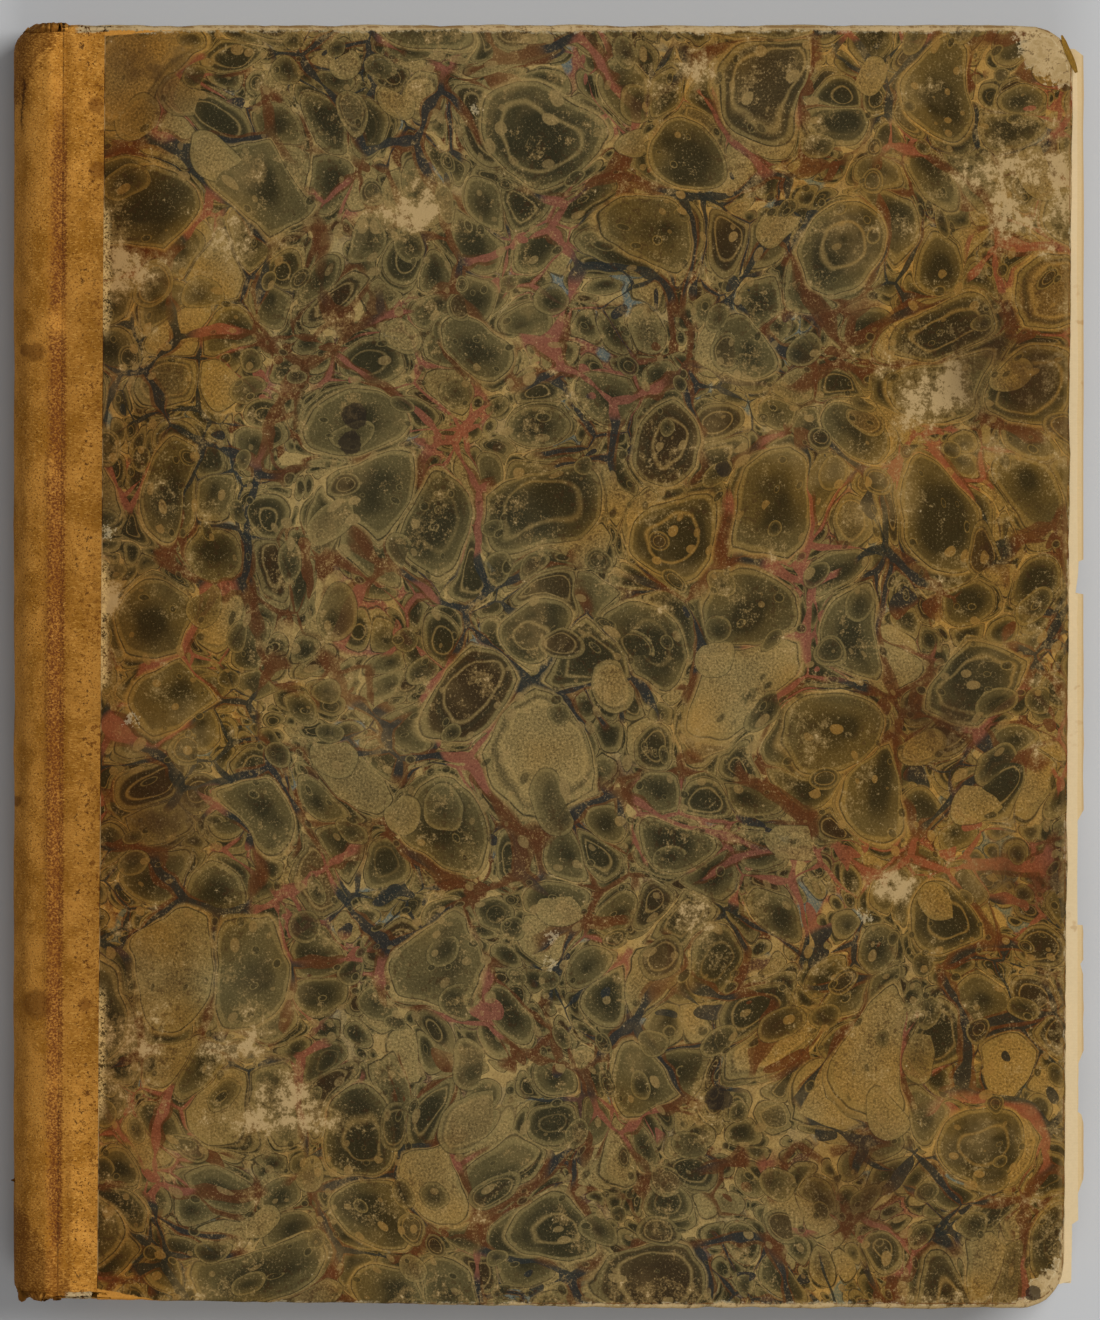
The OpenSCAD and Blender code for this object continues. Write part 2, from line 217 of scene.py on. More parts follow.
class Paint:
    """A material and the nodes in it."""

    def __init__(self, name):
        self.material = bpy.data.materials.new(name)
        self.material.use_nodes = True
        self.tree = self.material.node_tree
        self.shader = self.tree.nodes["Principled BSDF"]
        self.mm = self.vector("SCALE", self.add("ShaderNodeTexCoord", {}, {}, "Object"), scale=1 / MM)

    def add(self, kind, settings, inputs, output=0):
        """Adds a node. Settings are set before its inputs, which may be values or wires."""
        node = self.tree.nodes.new(kind)
        for name, value in settings.items():
            setattr(node, name, value)
        pairs = inputs.items() if isinstance(inputs, dict) else enumerate(inputs)
        for key, value in pairs:
            if isinstance(value, Wire):
                self.tree.links.new(value.socket, node.inputs[key])
            elif value is not None:
                node.inputs[key].default_value = value
        return Wire(self, node.outputs[output])

    def vector(self, operation, a, b=None, scale=None):
        inputs = {0: a}
        if b is not None:
            inputs[1] = b
        if scale is not None:
            inputs["Scale"] = scale
        return self.add("ShaderNodeVectorMath", {"operation": operation}, inputs,
                        "Value" if operation in ("LENGTH", "DISTANCE") else "Vector")

    def part(self, vector, axis):
        return self.add("ShaderNodeSeparateXYZ", {}, [vector], axis)

    def join(self, x, y, z):
        return self.add("ShaderNodeCombineXYZ", {}, [x, y, z])

    def noise(self, vector, grain, detail=2.0, rough=0.5, kind="Fac", flat=False, step=2.0):
        """Noise whose lumps are about grain millimetres across. Flat noise leaves Z out and is quicker."""
        return self.add("ShaderNodeTexNoise", {"noise_dimensions": "2D" if flat else "3D"},
                        {"Vector": vector, "Scale": 1 / grain, "Detail": detail, "Roughness": rough,
                         "Lacunarity": step}, kind)

    def mix(self, amount, a, b):
        """Colour a where amount is 0, b where it is 1."""
        def rgba(c):
            return c if isinstance(c, Wire) else (*c, 1)
        return self.add("ShaderNodeMix", {"data_type": "RGBA"},
                        {0: amount, 6: rgba(a), 7: rgba(b)}, 2)

    def times(self, rgb, factor):
        """A colour made lighter or darker by a value."""
        return self.vector("SCALE", rgb, scale=factor)

    def bump(self, height, depth):
        """height is in millimetres where depth is 1."""
        return self.add("ShaderNodeBump", {}, {"Strength": 1.0, "Distance": depth * MM, "Height": height})

    def finish(self, rgb, rough, normal=None, specular=0.3):
        shader = self.shader
        for name, value in (("Base Color", rgb), ("Roughness", rough), ("Normal", normal)):
            if isinstance(value, Wire):
                self.tree.links.new(value.socket, shader.inputs[name])
            elif value is not None:
                shader.inputs[name].default_value = value
        shader.inputs["Specular IOR Level"].default_value = specular
        return self.material


# ---------------------------------------------------------------- materials


# Places are (x, y, radius) in millimetres, seen from above the front cover.
FRONT_WEAR = ((92, 92, 20), (74, 52, 15), (-52, -86, 15), (-84, -74, 15), (-84, 76, 15), (-27, 88, 11),
              (-61, 80, 11), (-60, -72, 11), (-87, 14, 8), (-87, 2, 8), (30, 117, 8), (67, -42, 8),
              (29, -48, 8))
BACK_WEAR = ((60, 70, 22), (-20, -60, 26), (80, -80, 20), (-50, 90, 18))
STAINS = ((88, 57, 17), (60, -100, 17), (73, -10, 14), (-74, -30, 14), (92, -40, 14), (-76, 115, 14))
BLOTS = ((93.4, -120.6, 2.6), (-37, 48, 4), (-38, 43, 4), (33, -83, 4), (34, 38, 2.6))
CHIPS = ((-84.6, 26, 3), (1, -52, 3), (0.6, -57, 3), (-14, 107, 3), (98, -117, 3), (-80, -10.5, 3),
         (61, -48, 3))
LEATHER_MARKS = ((-98.5, 60.5, 3.2), (-102.5, -26, 1.8), (-98.2, -65, 5.0), (-89, -65, 2.2),
                 (-100.5, 61, 2.2), (-86.5, 95.5, 3.0), (-86.8, 108, 2.6))

# How far bare board reaches round the fore corners at head and tail.
BARE_HEAD, BARE_TAIL = 19.0, 13.0

# What the paper's colour is multiplied by: where it is cool, where it is warm, and shaded by the leather.
COOL_TINT, WARM_TINT, SHADED_TINT = (0.98, 1.04, 1.12), (1.13, 0.90, 0.52), (0.84, 0.73, 0.62)

# Drops from the widest to the smallest: x and y of the shift, pitch, least and most reach, the share that is
# missing, and whether the way to the next cell is measured exactly.
DROP_LAYERS = ((31, 17, 19.0, 0.40, 0.70, 0.52, True), (7, 43, 10.5, 0.38, 0.75, 0.25, True),
               (3, 11, 6.0, 0.44, 0.80, 0.15, False), (71, 29, 3.4, 0.40, 0.76, 0.2, False))


def shift(paint, vector, x, y):
    return paint.vector("ADD", vector, (x, y, 0))


def spots(paint, where, places):
    """A soft mask round places given as (x, y, radius), in millimetres."""
    mask = None
    for radius in sorted({place[2] for place in places}):
        nearest = None
        for x, y, _ in [place for place in places if place[2] == radius]:
            away = paint.vector("DISTANCE", where, (x, y, 0))
            nearest = away if nearest is None else nearest.least(away)
        spot = nearest.rise(radius, radius * 0.15)
        mask = spot if mask is None else mask.most(spot)
    return mask


def drop_cells(paint, p, pitch, features):
    """Cells about pitch millimetres wide round random points, which drops grow from.

    Gives a distance in pitches for each feature, the cell's point and its three random numbers.
    """
    values = {"Vector": p, "Scale": 1 / pitch, "Randomness": 1.0}
    found = [paint.add("ShaderNodeTexVoronoi", {"voronoi_dimensions": "2D", "feature": feature}, values,
                       "Distance") for feature in features]
    first = found[0].socket.node.outputs
    chance = paint.add("ShaderNodeSeparateColor", {}, [Wire(paint, first["Color"])], 0).socket.node.outputs
    return found, Wire(paint, first["Position"]), [Wire(paint, chance[i]) for i in range(3)]


def spread_drops(paint, p, pitch, small, large, missing, squeeze, exact):
    """Drops thrown on the bath, one to a cell, each spread until its neighbours stop it.

    small and large are the reach of a drop in pitches, and squeeze is where in its cell it stops.
    Gives how far out in its drop a place is, 1 at the rim, the drop's random numbers, the millimetres
    that are left to the next cell, and where the place lay before the drop pushed it aside.
    """
    if exact:
        (near, edge), centre, chance = drop_cells(paint, p, pitch, ("F1", "DISTANCE_TO_EDGE"))
    else:
        (near, other), centre, chance = drop_cells(paint, p, pitch, ("F1", "F2"))
        edge = (other - near) * 0.5
    towards_edge = near / (near + edge)
    reach = chance[1] * (large - small) + small
    flat_side, round_side = (towards_edge / squeeze).square(), (near / reach).square()
    far = (flat_side.square() + round_side.square()).root().root()
    far = far / (chance[0].above(missing) + 0.001)
    still = (1 / far.square()).least(1.0)
    pull = ((1 - still) / (1 - towards_edge * towards_edge * still).most(0.0001)).root()
    spoke = paint.vector("SUBTRACT", p, centre)
    before = paint.vector("ADD", centre, paint.vector("SCALE", spoke, scale=pull))
    return far, chance, edge * pitch, before


def dots(paint, p, pitch, small, large, missing):
    """Small late drops: how far out in a dot a point is, 1 at its rim, and the dot's random numbers."""
    (near,), _, chance = drop_cells(paint, p, pitch, ("F1",))
    return near / (chance[1] * (large - small) + small) / (chance[0].above(missing) + 0.001), chance


def drop_colour(paint, far, chance, colours, lean, mottle, pitch):
    """A drop from its dark middle to its paler rim. Some are tan or umber, wide ones may hold a ring."""
    heart = 0.1 + chance[2] * 0.45
    blush = (far + lean * 0.9).rise(heart, heart + 0.65)
    body = paint.mix(blush, colours.olive, colours.sage)
    light = chance[1].rise(0.80, 0.91)
    body = paint.mix(light * (0.6 + mottle), body, colours.sand)
    dark = chance[2].rise(0.88, 0.98)
    body = paint.mix(dark * 0.5, body, colours.umber)
    if pitch > 4:
        at = 0.5 + chance[1] * 0.28 + lean * 0.35
        ringed = chance[2].rise(0.62, 0.80)
        body = paint.mix(far.peak(at, 0.07) * ringed * 0.5, body, colours.sand)
        body = paint.mix(far.peak(at + 0.13, 0.09) * ringed * 0.6, body, colours.moss)
    band = min(1.7 / pitch, 0.4)
    return paint.mix(far.rise(1 - band, 1 - band * 0.4) * (0.42 + chance[0] * 0.35), body, colours.rim)


def marbled_pattern(paint, still, colours, mottle):
    """Olive drops over tan, with rust, rose and navy veins squeezed between them."""
    swim = paint.vector("SUBTRACT", paint.noise(still, 34, 2.0, 0.24, "Color", True, 2.8), (0.5, 0.5, 0.5))
    p = paint.vector("ADD", still, paint.vector("SCALE", swim, scale=17.0))
    lean = paint.noise(p, 7.0, 1.0, flat=True) - 0.5
    swell = paint.noise(shift(paint, p, 20, 60), 7, 1.0, flat=True)

    layers = []
    place, squeeze = p, 1.06 - swell * 0.22
    for x, y, pitch, small, large, missing, exact in DROP_LAYERS:
        moved = shift(paint, place, x, y)
        far, chance, edge, place = spread_drops(paint, moved, pitch, small, large, missing, squeeze, exact)
        layers.append((far, chance, edge, pitch))

    def region(vector, x, y, grain, low, high):
        return paint.noise(shift(paint, vector, x, y), grain, 1.0, flat=True).rise(low, high)

    rusty, rosy = region(still, 90, 5, 15, 0.44, 0.54), region(still, 10, 75, 24, 0.57, 0.62)
    inky, hazy = region(still, 55, 35, 26, 0.49, 0.55), region(still, 35, 95, 8, 0.56, 0.62)
    earth = paint.mix(region(p, 0, 0, 5, 0.47, 0.55) * (0.2 + rusty * 0.8), colours.sand, colours.rust)
    earth = paint.mix(rosy * region(p, 9, 9, 6, 0.42, 0.52), earth, colours.rose)
    earth = paint.mix(hazy * (0.15 + inky * 0.75), earth, colours.smoke)
    ground = paint.mix(mottle.rise(-0.1, 0.2) * 0.35, earth, colours.sand)
    vein = paint.mix(rosy, paint.mix(inky, colours.rust, colours.navy), colours.rose)

    for i, (far, chance, edge, pitch) in enumerate(reversed(layers)):
        if i > 1:
            width = swell * (2.6 if i == 3 else 1.7) - 0.55
            crust = edge.rise(width * 1.7, width * 1.5) * rusty
            core = edge.rise(width, width * 0.75) * inky.most(rosy).most(rusty * 0.6)
            ground = paint.mix(crust * 0.7, ground, colours.rust)
            ground = paint.mix(core * 0.9, ground, vein)
        if i:
            ground = paint.mix(far.rise(1.14, 1.04) * 0.6, ground, colours.sand)
        drop = drop_colour(paint, far, chance, colours, lean, mottle, pitch)
        ground = paint.mix(far.rise(1.03, 1.0), ground, drop)
        line = min(0.45 / pitch, 0.1)
        ground = paint.mix(far.peak(1.0 + line, line) * (0.45 + swell * 0.8), ground, colours.moss)

    far, chance = dots(paint, shift(paint, p, 5, 5), 10.0, 0.12, 0.42, 0.5)
    drop = drop_colour(paint, far, chance, colours, lean, mottle, 8.0)
    ground = paint.mix(far.rise(1.04, 1.0) * 0.85, ground, drop)
    ground = paint.mix(far.peak(1.03, 0.05) * 0.6, ground, colours.moss)
    far, chance = dots(paint, shift(paint, p, 13, 13), 3.6, 0.05, 0.32, 0.45)
    pale = chance[2].above(0.45)
    tint = paint.mix(pale * 0.8, colours.olive, colours.tan)
    tint = paint.mix(far.peak(0.84, 0.24) * (1 - pale) * 0.9, tint, colours.rim)
    return paint.mix(far.rise(1.05, 0.85) * (0.3 + chance[1] * 0.5), ground, tint)


def marbled_paper(name, colours, offset, wear, stains, blots, chips, outline, lean):
    """Marbled paper, rubbed pale along its edges, with bare board where it is gone.

    outline is the board's lowest and highest x, its lowest and highest y, the radius of its fore corners
    and the slope of its fore edge. lean is how far the leather's edge leans out towards the head.
    """
    paint = Paint(name)
    flat = paint.vector("MULTIPLY", paint.mm, (1, 1, 0))
    down = TOP - paint.part(paint.mm, "Z")
    place = paint.vector("ADD", shift(paint, flat, *offset), paint.join(down * 0.8, down * 0.6, 0.0))
    fine = paint.noise(place, 0.45, 2.0, 0.75, flat=True)
    pattern = marbled_pattern(paint, place, colours, fine - 0.5)
    coarse = paint.noise(place, 26, 2.0, 0.6, flat=True)
    patch = paint.noise(place, 9, 3.0, 0.7, flat=True)
    crumbs = paint.noise(place, 1.7, 3.0, 0.75, flat=True)
    rgb = paint.times(pattern, coarse * 0.5 + fine * 0.8 + patch * 0.55 + 0.03)
    across = paint.part(flat, "X")
    warm = paint.noise(shift(paint, place, 60, 20), 34, 2.0, 0.6, flat=True) + abs(across + 8) * 0.0034 - 0.06
    rgb = paint.vector("MULTIPLY", rgb, paint.mix(warm.rise(0.42, 0.84), COOL_TINT, WARM_TINT))
    faded = coarse.rise(0.55, 0.75) * patch.rise(0.3, 0.6)
    rgb = paint.mix(faded * 0.3, rgb, colours.tan)
    dust = (fine * 0.6 + crumbs * 0.4).rise(0.56, 0.64) * patch.rise(0.40, 0.62)
    rgb = paint.mix(dust * 0.25, rgb, colours.rubbed)
    rgb = paint.mix(fine.rise(0.64, 0.74) * 0.22, rgb, colours.rubbed)
    dirt = crumbs.rise(0.44, 0.34) * coarse.rise(0.54, 0.40)
    rgb = paint.mix((dirt * 0.5).most(fine.rise(0.36, 0.26) * 0.35), rgb, colours.umber)

    # Distance in from the edge of the board, for the rubbed rims.
    y = paint.part(flat, "Y")
    low_x, high_x, low_y, high_y, radius, slope = outline
    fore = high_x - (high_y - y) * slope - across
    side = fore.least(across - low_x)
    ends = (high_y - y).least(y - low_y)
    corner = paint.join((radius - fore).most(0.0), (radius - ends).most(0.0), 0.0)
    round_corner = radius - paint.vector("LENGTH", corner)
    rim = side.least(ends).least(round_corner)

    handled = spots(paint, flat, wear)
    rubbed = rim.rise(5.0, 0.0) * 0.10 + handled * 0.26
    worn = patch * 0.9 + crumbs * 0.55 + fine * 0.3 + rubbed
    scuff = worn.rise(1.10, 1.24)
    rgb = paint.mix(worn.rise(0.94, 1.12) * 0.45, rgb, colours.tan)
    rgb = paint.mix(scuff * 0.85, rgb, colours.rubbed)
    stain = spots(paint, flat, stains) * patch.rise(0.3, 0.62)
    rgb = paint.mix(stain * 0.7, rgb, colours.umber)

    # Beside the leather the paper has a pale cut edge and is rubbed.
    inset = across - (y - TAIL) * (lean / (HEAD - TAIL)) - PAPER_X
    rubbed_line = (inset + (crumbs - 0.5) * 4.2 + (fine - 0.5) * 1.5).rise(1.9, 0.9) * handled.rise(0.0, 0.3)
    cut_edge = paint.mix(patch.rise(0.45, 0.6), colours.umber, colours.rubbed)
    rgb = paint.mix(inset.rise(0.2, 0.1) * 0.9, rgb, cut_edge)
    shade = (inset + (patch - 0.5) * 16).rise(20.0, 3.0)
    rgb = paint.vector("MULTIPLY", rgb, paint.mix(shade, (1.0, 1.0, 1.0), SHADED_TINT))
    chip = (spots(paint, flat, chips) + (crumbs - 0.5) * 3.0 + (fine - 0.5) * 2.0).rise(0.95, 1.1)
    rgb = paint.mix(chip * 0.28, rgb, colours.torn)
    rubbed_line = rubbed_line * (crumbs * 0.5 + fine * 0.5).rise(0.40, 0.58)
    rgb = paint.mix(rubbed_line * 0.8, rgb, colours.rubbed_line)

    # Round the rim and over the corners it is rubbed through to the board, with a torn edge.
    kept = (fore + 1.6 + (coarse - 0.5) * 6).least(side + 40).least((high_y - y).least(y - low_y + 0.9))
    kept = kept.least(round_corner + (ends.most(fore) - radius).most(0.0) * 0.5)
    ragged = kept + (patch - 0.5) * 2.2 + (fine - 0.5) * 0.9 - 0.45
    corners = spots(paint, flat, ((high_x, high_y, BARE_HEAD), (high_x - 1.0, low_y, BARE_TAIL)))
    corners = corners + (patch - 0.5) * 0.8 + (crumbs - 0.5) * 0.5
    bare = ragged.rise(0.75, 0.45).most(corners.rise(0.38, 0.56))
    torn = ragged.peak(0.8, 0.28).most(corners.peak(0.45, 0.05))
    fuzz = paint.mix(crumbs.rise(0.36, 0.60), colours.rubbed, colours.board)
    smear = (patch * 0.6 + crumbs * 0.4).rise(0.47, 0.58)
    fuzz = paint.mix(smear * 0.6, fuzz, colours.tan)
    fuzz = paint.mix((crumbs * 0.7 + fine * 0.3).rise(0.44, 0.37) * 0.55, fuzz, colours.umber)
    rgb = paint.mix(fore.peak(0.8, 0.8) * (patch - 0.1) * 0.6, rgb, colours.tan)
    rgb = paint.mix(bare * 0.94, rgb, fuzz)
    rgb = paint.mix(torn * crumbs.rise(0.40, 0.60) * 0.4, rgb, colours.torn)
    # A broken dark line just inside the rim of the board.
    rim_line = rim.peak(0.35, 0.22) * (patch * 0.5 + crumbs * 0.5).rise(0.47, 0.54)
    rgb = paint.mix(rim_line * 0.75, rgb, colours.calf_stain)

    blot = spots(paint, flat, blots) + (patch - 0.5) * 0.8 + (crumbs - 0.5) * 0.7
    rgb = paint.mix(blot.rise(0.45, 0.55) * 0.8, rgb, colours.ink)

    # At head and tail the leather is turned in round the board and shows beside the paper.
    fringe = (crumbs - 0.5) * 0.7
    at_head = (y - inset * 0.09 - HEAD + 2.2).least(HEAD - 1.0 - y + fringe)
    at_tail = TAIL + 2.1 - y - inset * 0.2
    turned_in = (at_head.most(at_tail) + fringe).rise(-0.05, 0.15)
    rgb = paint.mix(turned_in, rgb, paint.times(colours.calf, 0.7 + fine * 0.5))

    return paint.finish(rgb, 0.52 + scuff * 0.25 + bare * 0.3, paint.bump(fine * 0.1, 1.0), 0.03)


def calf(name, colours, front):
    """Suede calf: short slanting fibres, dark pores, stains at the ends, dirt and red rot in the joint, and
    painted light and shade on the round of the back and on the board.
    """
    paint = Paint(name)
    mm = paint.add("ShaderNodeAttribute", {"attribute_name": "rest"}, {}, "Vector")
    flat = paint.vector("MULTIPLY", mm, (1, 1, 0))
    x, y = paint.part(mm, "X"), paint.part(mm, "Y")
    slant = paint.add("ShaderNodeMapping", {}, {"Vector": mm, "Rotation": (0, 0, math.radians(28)),
                                                "Scale": (1, 2.6, 1)})
    fibre = paint.noise(slant, 0.75, 3.0, 0.7)
    nap = paint.noise(mm, 0.40, 2.0, 0.8)
    cloud = paint.noise(mm, 7, 3.0, 0.6)
    broad = paint.noise(mm, 26, 2.0, 0.5)
    rgb = paint.mix((cloud * 0.7 + fibre * 0.3).rise(0.36, 0.62), colours.calf_deep, colours.calf)
    rgb = paint.mix(fibre.rise(0.53, 0.68) * 0.6, rgb, colours.calf_rubbed)
    # off is the way past the crease, on to the board. Painted light and shade: the round of the back is
    # painted lighter and the leather on the board darker, less so towards head and tail, and a little darker
    # still near the paper.
    off = x - (y * CREASE_LEAN + CREASE)
    painted_light_and_shade = 1.2 - off.rise(0.0, 1.5) * (0.36 - abs(y).rise(60, 115) * 0.26) - off.rise(4.5, 7.2) * 0.08
    rgb = paint.times(rgb, (0.62 + broad * 0.3 + nap * 0.44) * painted_light_and_shade)
    pores = nap.rise(0.43, 0.35) * (0.3 + broad)
    rgb = paint.mix(pores, rgb, colours.calf_stain)

    # The dirt lies in the joint, from the ridge to the crease.
    narrower = y * y * 0.0001
    band = (off - narrower + (cloud - 0.5) * 2.2 + (fibre - 0.5) * 3.2).rise(-4.0, -2.2)
    band = band * (off + (fibre - 0.5) * 1.6).rise(1.0, 0.4)
    along = paint.noise(mm, 12, 2.0).rise(0.18, 0.42)
    along = along * y.rise(HEAD - 7, HEAD - 26) * y.rise(TAIL + 2, TAIL + 12)
    dirty = band * along * (0.36 + nap.rise(0.62, 0.44) * 0.54)
    rgb = paint.mix(dirty, rgb, colours.joint_dirt)
    # A patchy dark line along the bottom of the crease.
    crease_line = off.peak(-0.05, 0.28) * fibre.rise(0.36, 0.58) * (0.5 + abs(y).rise(65, 105) * 0.3)
    rgb = paint.mix(crease_line, rgb, colours.calf_dark)
    crease_stain = (off + (cloud - 0.5) * 1.2).peak(2.0, 1.0) * y.rise(-80, -98)
    rgb = paint.mix(crease_stain * 0.35, rgb, colours.calf_stain)

    spatter = paint.noise(mm, 1.1, 4.0, 0.75)
    flecks = spatter.rise(0.57, 0.61) * off.peak(4.4, 2.6).rise(0.0, 0.5) * cloud.rise(0.42, 0.52)
    rgb = paint.mix(flecks * 0.8, rgb, colours.calf_dark)
    grime = spatter.rise(0.52, 0.59)
    near_paper = off.rise(3.0, 7.6) * paint.noise(mm, 11, 1.0).rise(0.42, 0.58)
    rgb = paint.mix(grime * near_paper * 0.85, rgb, colours.calf_stain)

    # Old stains reach in from the two ends of the spine.
    inward = x - SPINE_LOW.x
    chewed = (cloud - 0.5) * 15 + (fibre - 0.5) * 9
    stained = ((HEAD - y) + inward * 1.6 + chewed).rise(17.5, 15.0)
    rgb = paint.mix(stained * (0.28 + fibre.rise(0.62, 0.40) * 0.45), rgb, colours.calf_stain)
    stained = ((y - TAIL) * 0.8 + inward * 1.1 + chewed * 0.4).rise(16.0, 13.5)
    rgb = paint.mix(stained * (0.42 + fibre.rise(0.6, 0.4) * 0.35), rgb, colours.calf_stain)
    # Painted shade: a soft dark band along the back just in from its outer edge, where the round turns away
    # from the light.
    rgb = paint.mix((x + (cloud - 0.5) * 2).peak(SPINE_LOW.x + 2.2, 1.6) * 0.2, rgb, colours.calf_stain)

    if front:
        marks = spots(paint, flat, LEATHER_MARKS)
        rgb = paint.mix((marks + (fibre - 0.5) * 1.1).rise(0.35, 0.7) * 0.6, rgb, colours.calf_stain)
        split = (x + (cloud - 0.5) * 3 + (nap - 0.5) * 1.2).peak(SPINE_LOW.x + 2.0, 0.32)
        split = split * (y + nap * 3).rise(104.5, 107) * y.rise(114.5, 112.5)
        rgb = paint.mix(split * 0.9, rgb, colours.calf_dark)
        # At both ends the leather is worn off the edge of the board.
        gone = (y + (cloud - 0.5) * 2 + (fibre - 0.5)).rise(HEAD - 1.7, HEAD - 1.3)
        gone = gone * (off + (fibre - 0.5) * 3).rise(2.0, 3.2)
        low = (y + (cloud - 0.5) * 1.5).rise(TAIL + 1.5, TAIL + 1.2) * off.rise(1.2, 1.8) * off.rise(6.8, 6.2)
        bare = paint.mix(grime, colours.board, colours.calf_stain)
        rgb = paint.mix(gone.most(low), rgb, bare)

    height = fibre * 0.16 + nap * 0.06 + cloud * 0.3
    return paint.finish(rgb, 0.9, paint.bump(height, 1.0), 0.05)


def laid_paper(name, colours, edges, base="page"):
    """Old laid paper, browned towards its edges. On cut edges it shows the single leaves, with painted shade
    between them.
    """
    paint = Paint(name)
    mm = paint.mm
    x, y = paint.part(mm, "X"), paint.part(mm, "Y")
    cloud = paint.noise(mm, 22, 3.0, 0.6)
    fibre = paint.noise(mm, 0.8, 4.0, 0.7)
    rgb = paint.mix(cloud.rise(0.35, 0.75) * 0.15, getattr(colours, base), colours.page_edge)
    rgb = paint.times(rgb, 0.88 + fibre * 0.24)
    inward = (LEAVES_HIGH.x - x).least(LEAVES_HIGH.y - abs(y)).least(x - CREASE)
    rgb = paint.mix((inward + (cloud - 0.5) * 16).rise(15.0, 0.0) * 0.4, rgb, colours.page_edge)
    foxing = paint.noise(mm, 3.2, 2.0).rise(0.66, 0.72) * paint.noise(mm, 50, 1.0).rise(0.46, 0.62)
    rgb = paint.mix(foxing * 0.4, rgb, colours.calf_deep)
    out = x + (fibre - 0.5) * 0.4
    rgb = paint.mix(out.rise(LEAVES_HIGH.x - 0.45, LEAVES_HIGH.x - 0.2) * 0.3, rgb, colours.calf_deep)
    lines = abs(paint.add("ShaderNodeMath", {"operation": "SINE"}, [y * (math.tau / 1.1)]))
    height = fibre * 0.05 + lines * 0.02
    if edges:
        along = paint.add("ShaderNodeUVMap", {"uv_map": "leaves"}, {})
        rows = paint.noise(paint.vector("MULTIPLY", along, (14, 24, 1)), 10.0, 4.0, 0.75)
        gap = rows.rise(0.36, 0.5)
        facing = abs(paint.part(paint.add("ShaderNodeNewGeometry", {}, {}, "Normal"), "Z")).rise(0.8, 0.3)
        rgb = paint.mix(facing * 0.65, rgb, colours.page_edge)
        # Painted shade in the gaps between the single leaves on the cut edges.
        rgb = paint.mix((1 - gap) * facing * 0.5, rgb, colours.calf_stain)
        height = height + rows * facing * 0.15
    return paint.finish(rgb, 0.85, paint.bump(height, 1.0), 0.2)


def plain(name, rgb, grain, depth, rough=0.85, streak=(1, 1, 1)):
    """A rough single-coloured stuff, such as hemp, thread or pasted lining."""
    paint = Paint(name)
    place = paint.vector("MULTIPLY", paint.mm, streak)
    fine = paint.noise(place, grain, 4.0, 0.65)
    cloud = paint.noise(paint.mm, grain * 9, 2.0)
    tint = paint.mix(fine.rise(0.25, 0.75), tuple(c * 0.6 for c in rgb), rgb)
    return paint.finish(paint.times(tint, 0.8 + cloud * 0.35), rough, paint.bump(fine, depth), 0.2)


# Colours that are mixed from the user's, as they look on a screen.
MIXED_COLOURS = {
    "calf_rubbed": (212, 158, 76), "calf_dark": (58, 32, 16), "page_tan": (212, 188, 142),
    "amber": (186, 142, 54), "torn": (222, 202, 160), "tan": (146, 118, 70), "moss": (54, 47, 28),
    "sage": (87, 74, 42), "rim": (126, 106, 62), "umber": (58, 36, 17), "ink": (40, 32, 24),
    "rubbed": (178, 150, 104), "rubbed_line": (204, 166, 104), "thread": (204, 190, 160),
    "lining": (186, 168, 132), "floor": (189, 190, 191),
}


def palette():
    """The book's colours as plain tuples."""
    chosen = bpy.context.scene.book_colours
    found = {name: tuple(getattr(chosen, name)) for name in BookColours.__annotations__}
    found.update({name: linear(rgb) for name, rgb in MIXED_COLOURS.items()})
    return SimpleNamespace(**found)


# ---------------------------------------------------------------- mesh work


def put(bm, name, material, body=None, replaces=(), smooth=True):
    """Makes a finished piece of a bmesh that was built in millimetres."""
    rest = bm.verts.layers.float_vector.new("rest")
    for v in bm.verts:
        v[rest] = v.co
    bmesh.ops.scale(bm, vec=(MM, MM, MM), verts=bm.verts)
    for face in bm.faces:
        face.smooth = smooth
    mesh = bpy.data.meshes.new(name)
    bm.to_mesh(mesh)
    bm.free()
    piece = bpy.data.objects.new(name, mesh)
    bpy.context.scene.collection.objects.link(piece)
    mesh.materials.append(material)
    if body:
        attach(piece, body)
    if replaces:
        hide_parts(*replaces)
    return piece


def verts_of(geom):
    return [g for g in geom if isinstance(g, bmesh.types.BMVert)]


def raised(bm, faces, by, **more):
    """Raises faces into a solid and gives the new vertices."""
    top = verts_of(bmesh.ops.extrude_face_region(bm, geom=faces, **more)["geom"])
    bmesh.ops.translate(bm, vec=by, verts=top)
    return top


def rounded(bm, geom, offset, segments, affect="EDGES"):
    bmesh.ops.bevel(bm, geom=geom, offset=offset, offset_type="OFFSET", segments=segments, profile=0.5,
                    affect=affect, material=-1)


def cut_through(bm, point, normal):
    bmesh.ops.bisect_plane(bm, geom=bm.verts[:] + bm.edges[:] + bm.faces[:], dist=1e-5, plane_co=point,
                           plane_no=normal)


def wobble(x, y, grain, seed=0.0):
    return noise.noise((x / grain, y / grain, seed))


def soft(t):
    """0 below 0, 1 above 1, smooth between."""
    t = min(max(t, 0.0), 1.0)
    return t * t * (3 - 2 * t)


class Line:
    """Draws a section in the plane of X and Z, as a chain of edges."""

    def __init__(self, bm, x, z, y=0.0):
        self.bm, self.y = bm, y
        self.end = bm.verts.new((x, y, z))

    def to(self, x, z, steps=1):
        step = (Vector((x, self.y, z)) - self.end.co) / steps
        for _ in range(steps):
            self.end = bmesh.ops.extrude_vert_indiv(self.bm, verts=[self.end])["verts"][0]
            bmesh.ops.translate(self.bm, vec=step, verts=[self.end])

    def round(self, x, z, degrees, steps):
        turned = bmesh.ops.spin(self.bm, geom=[self.end], cent=(x, self.y, z), axis=(0, 1, 0),
                                angle=math.radians(degrees), steps=steps, use_merge=False)
        self.end = turned["geom_last"][0]


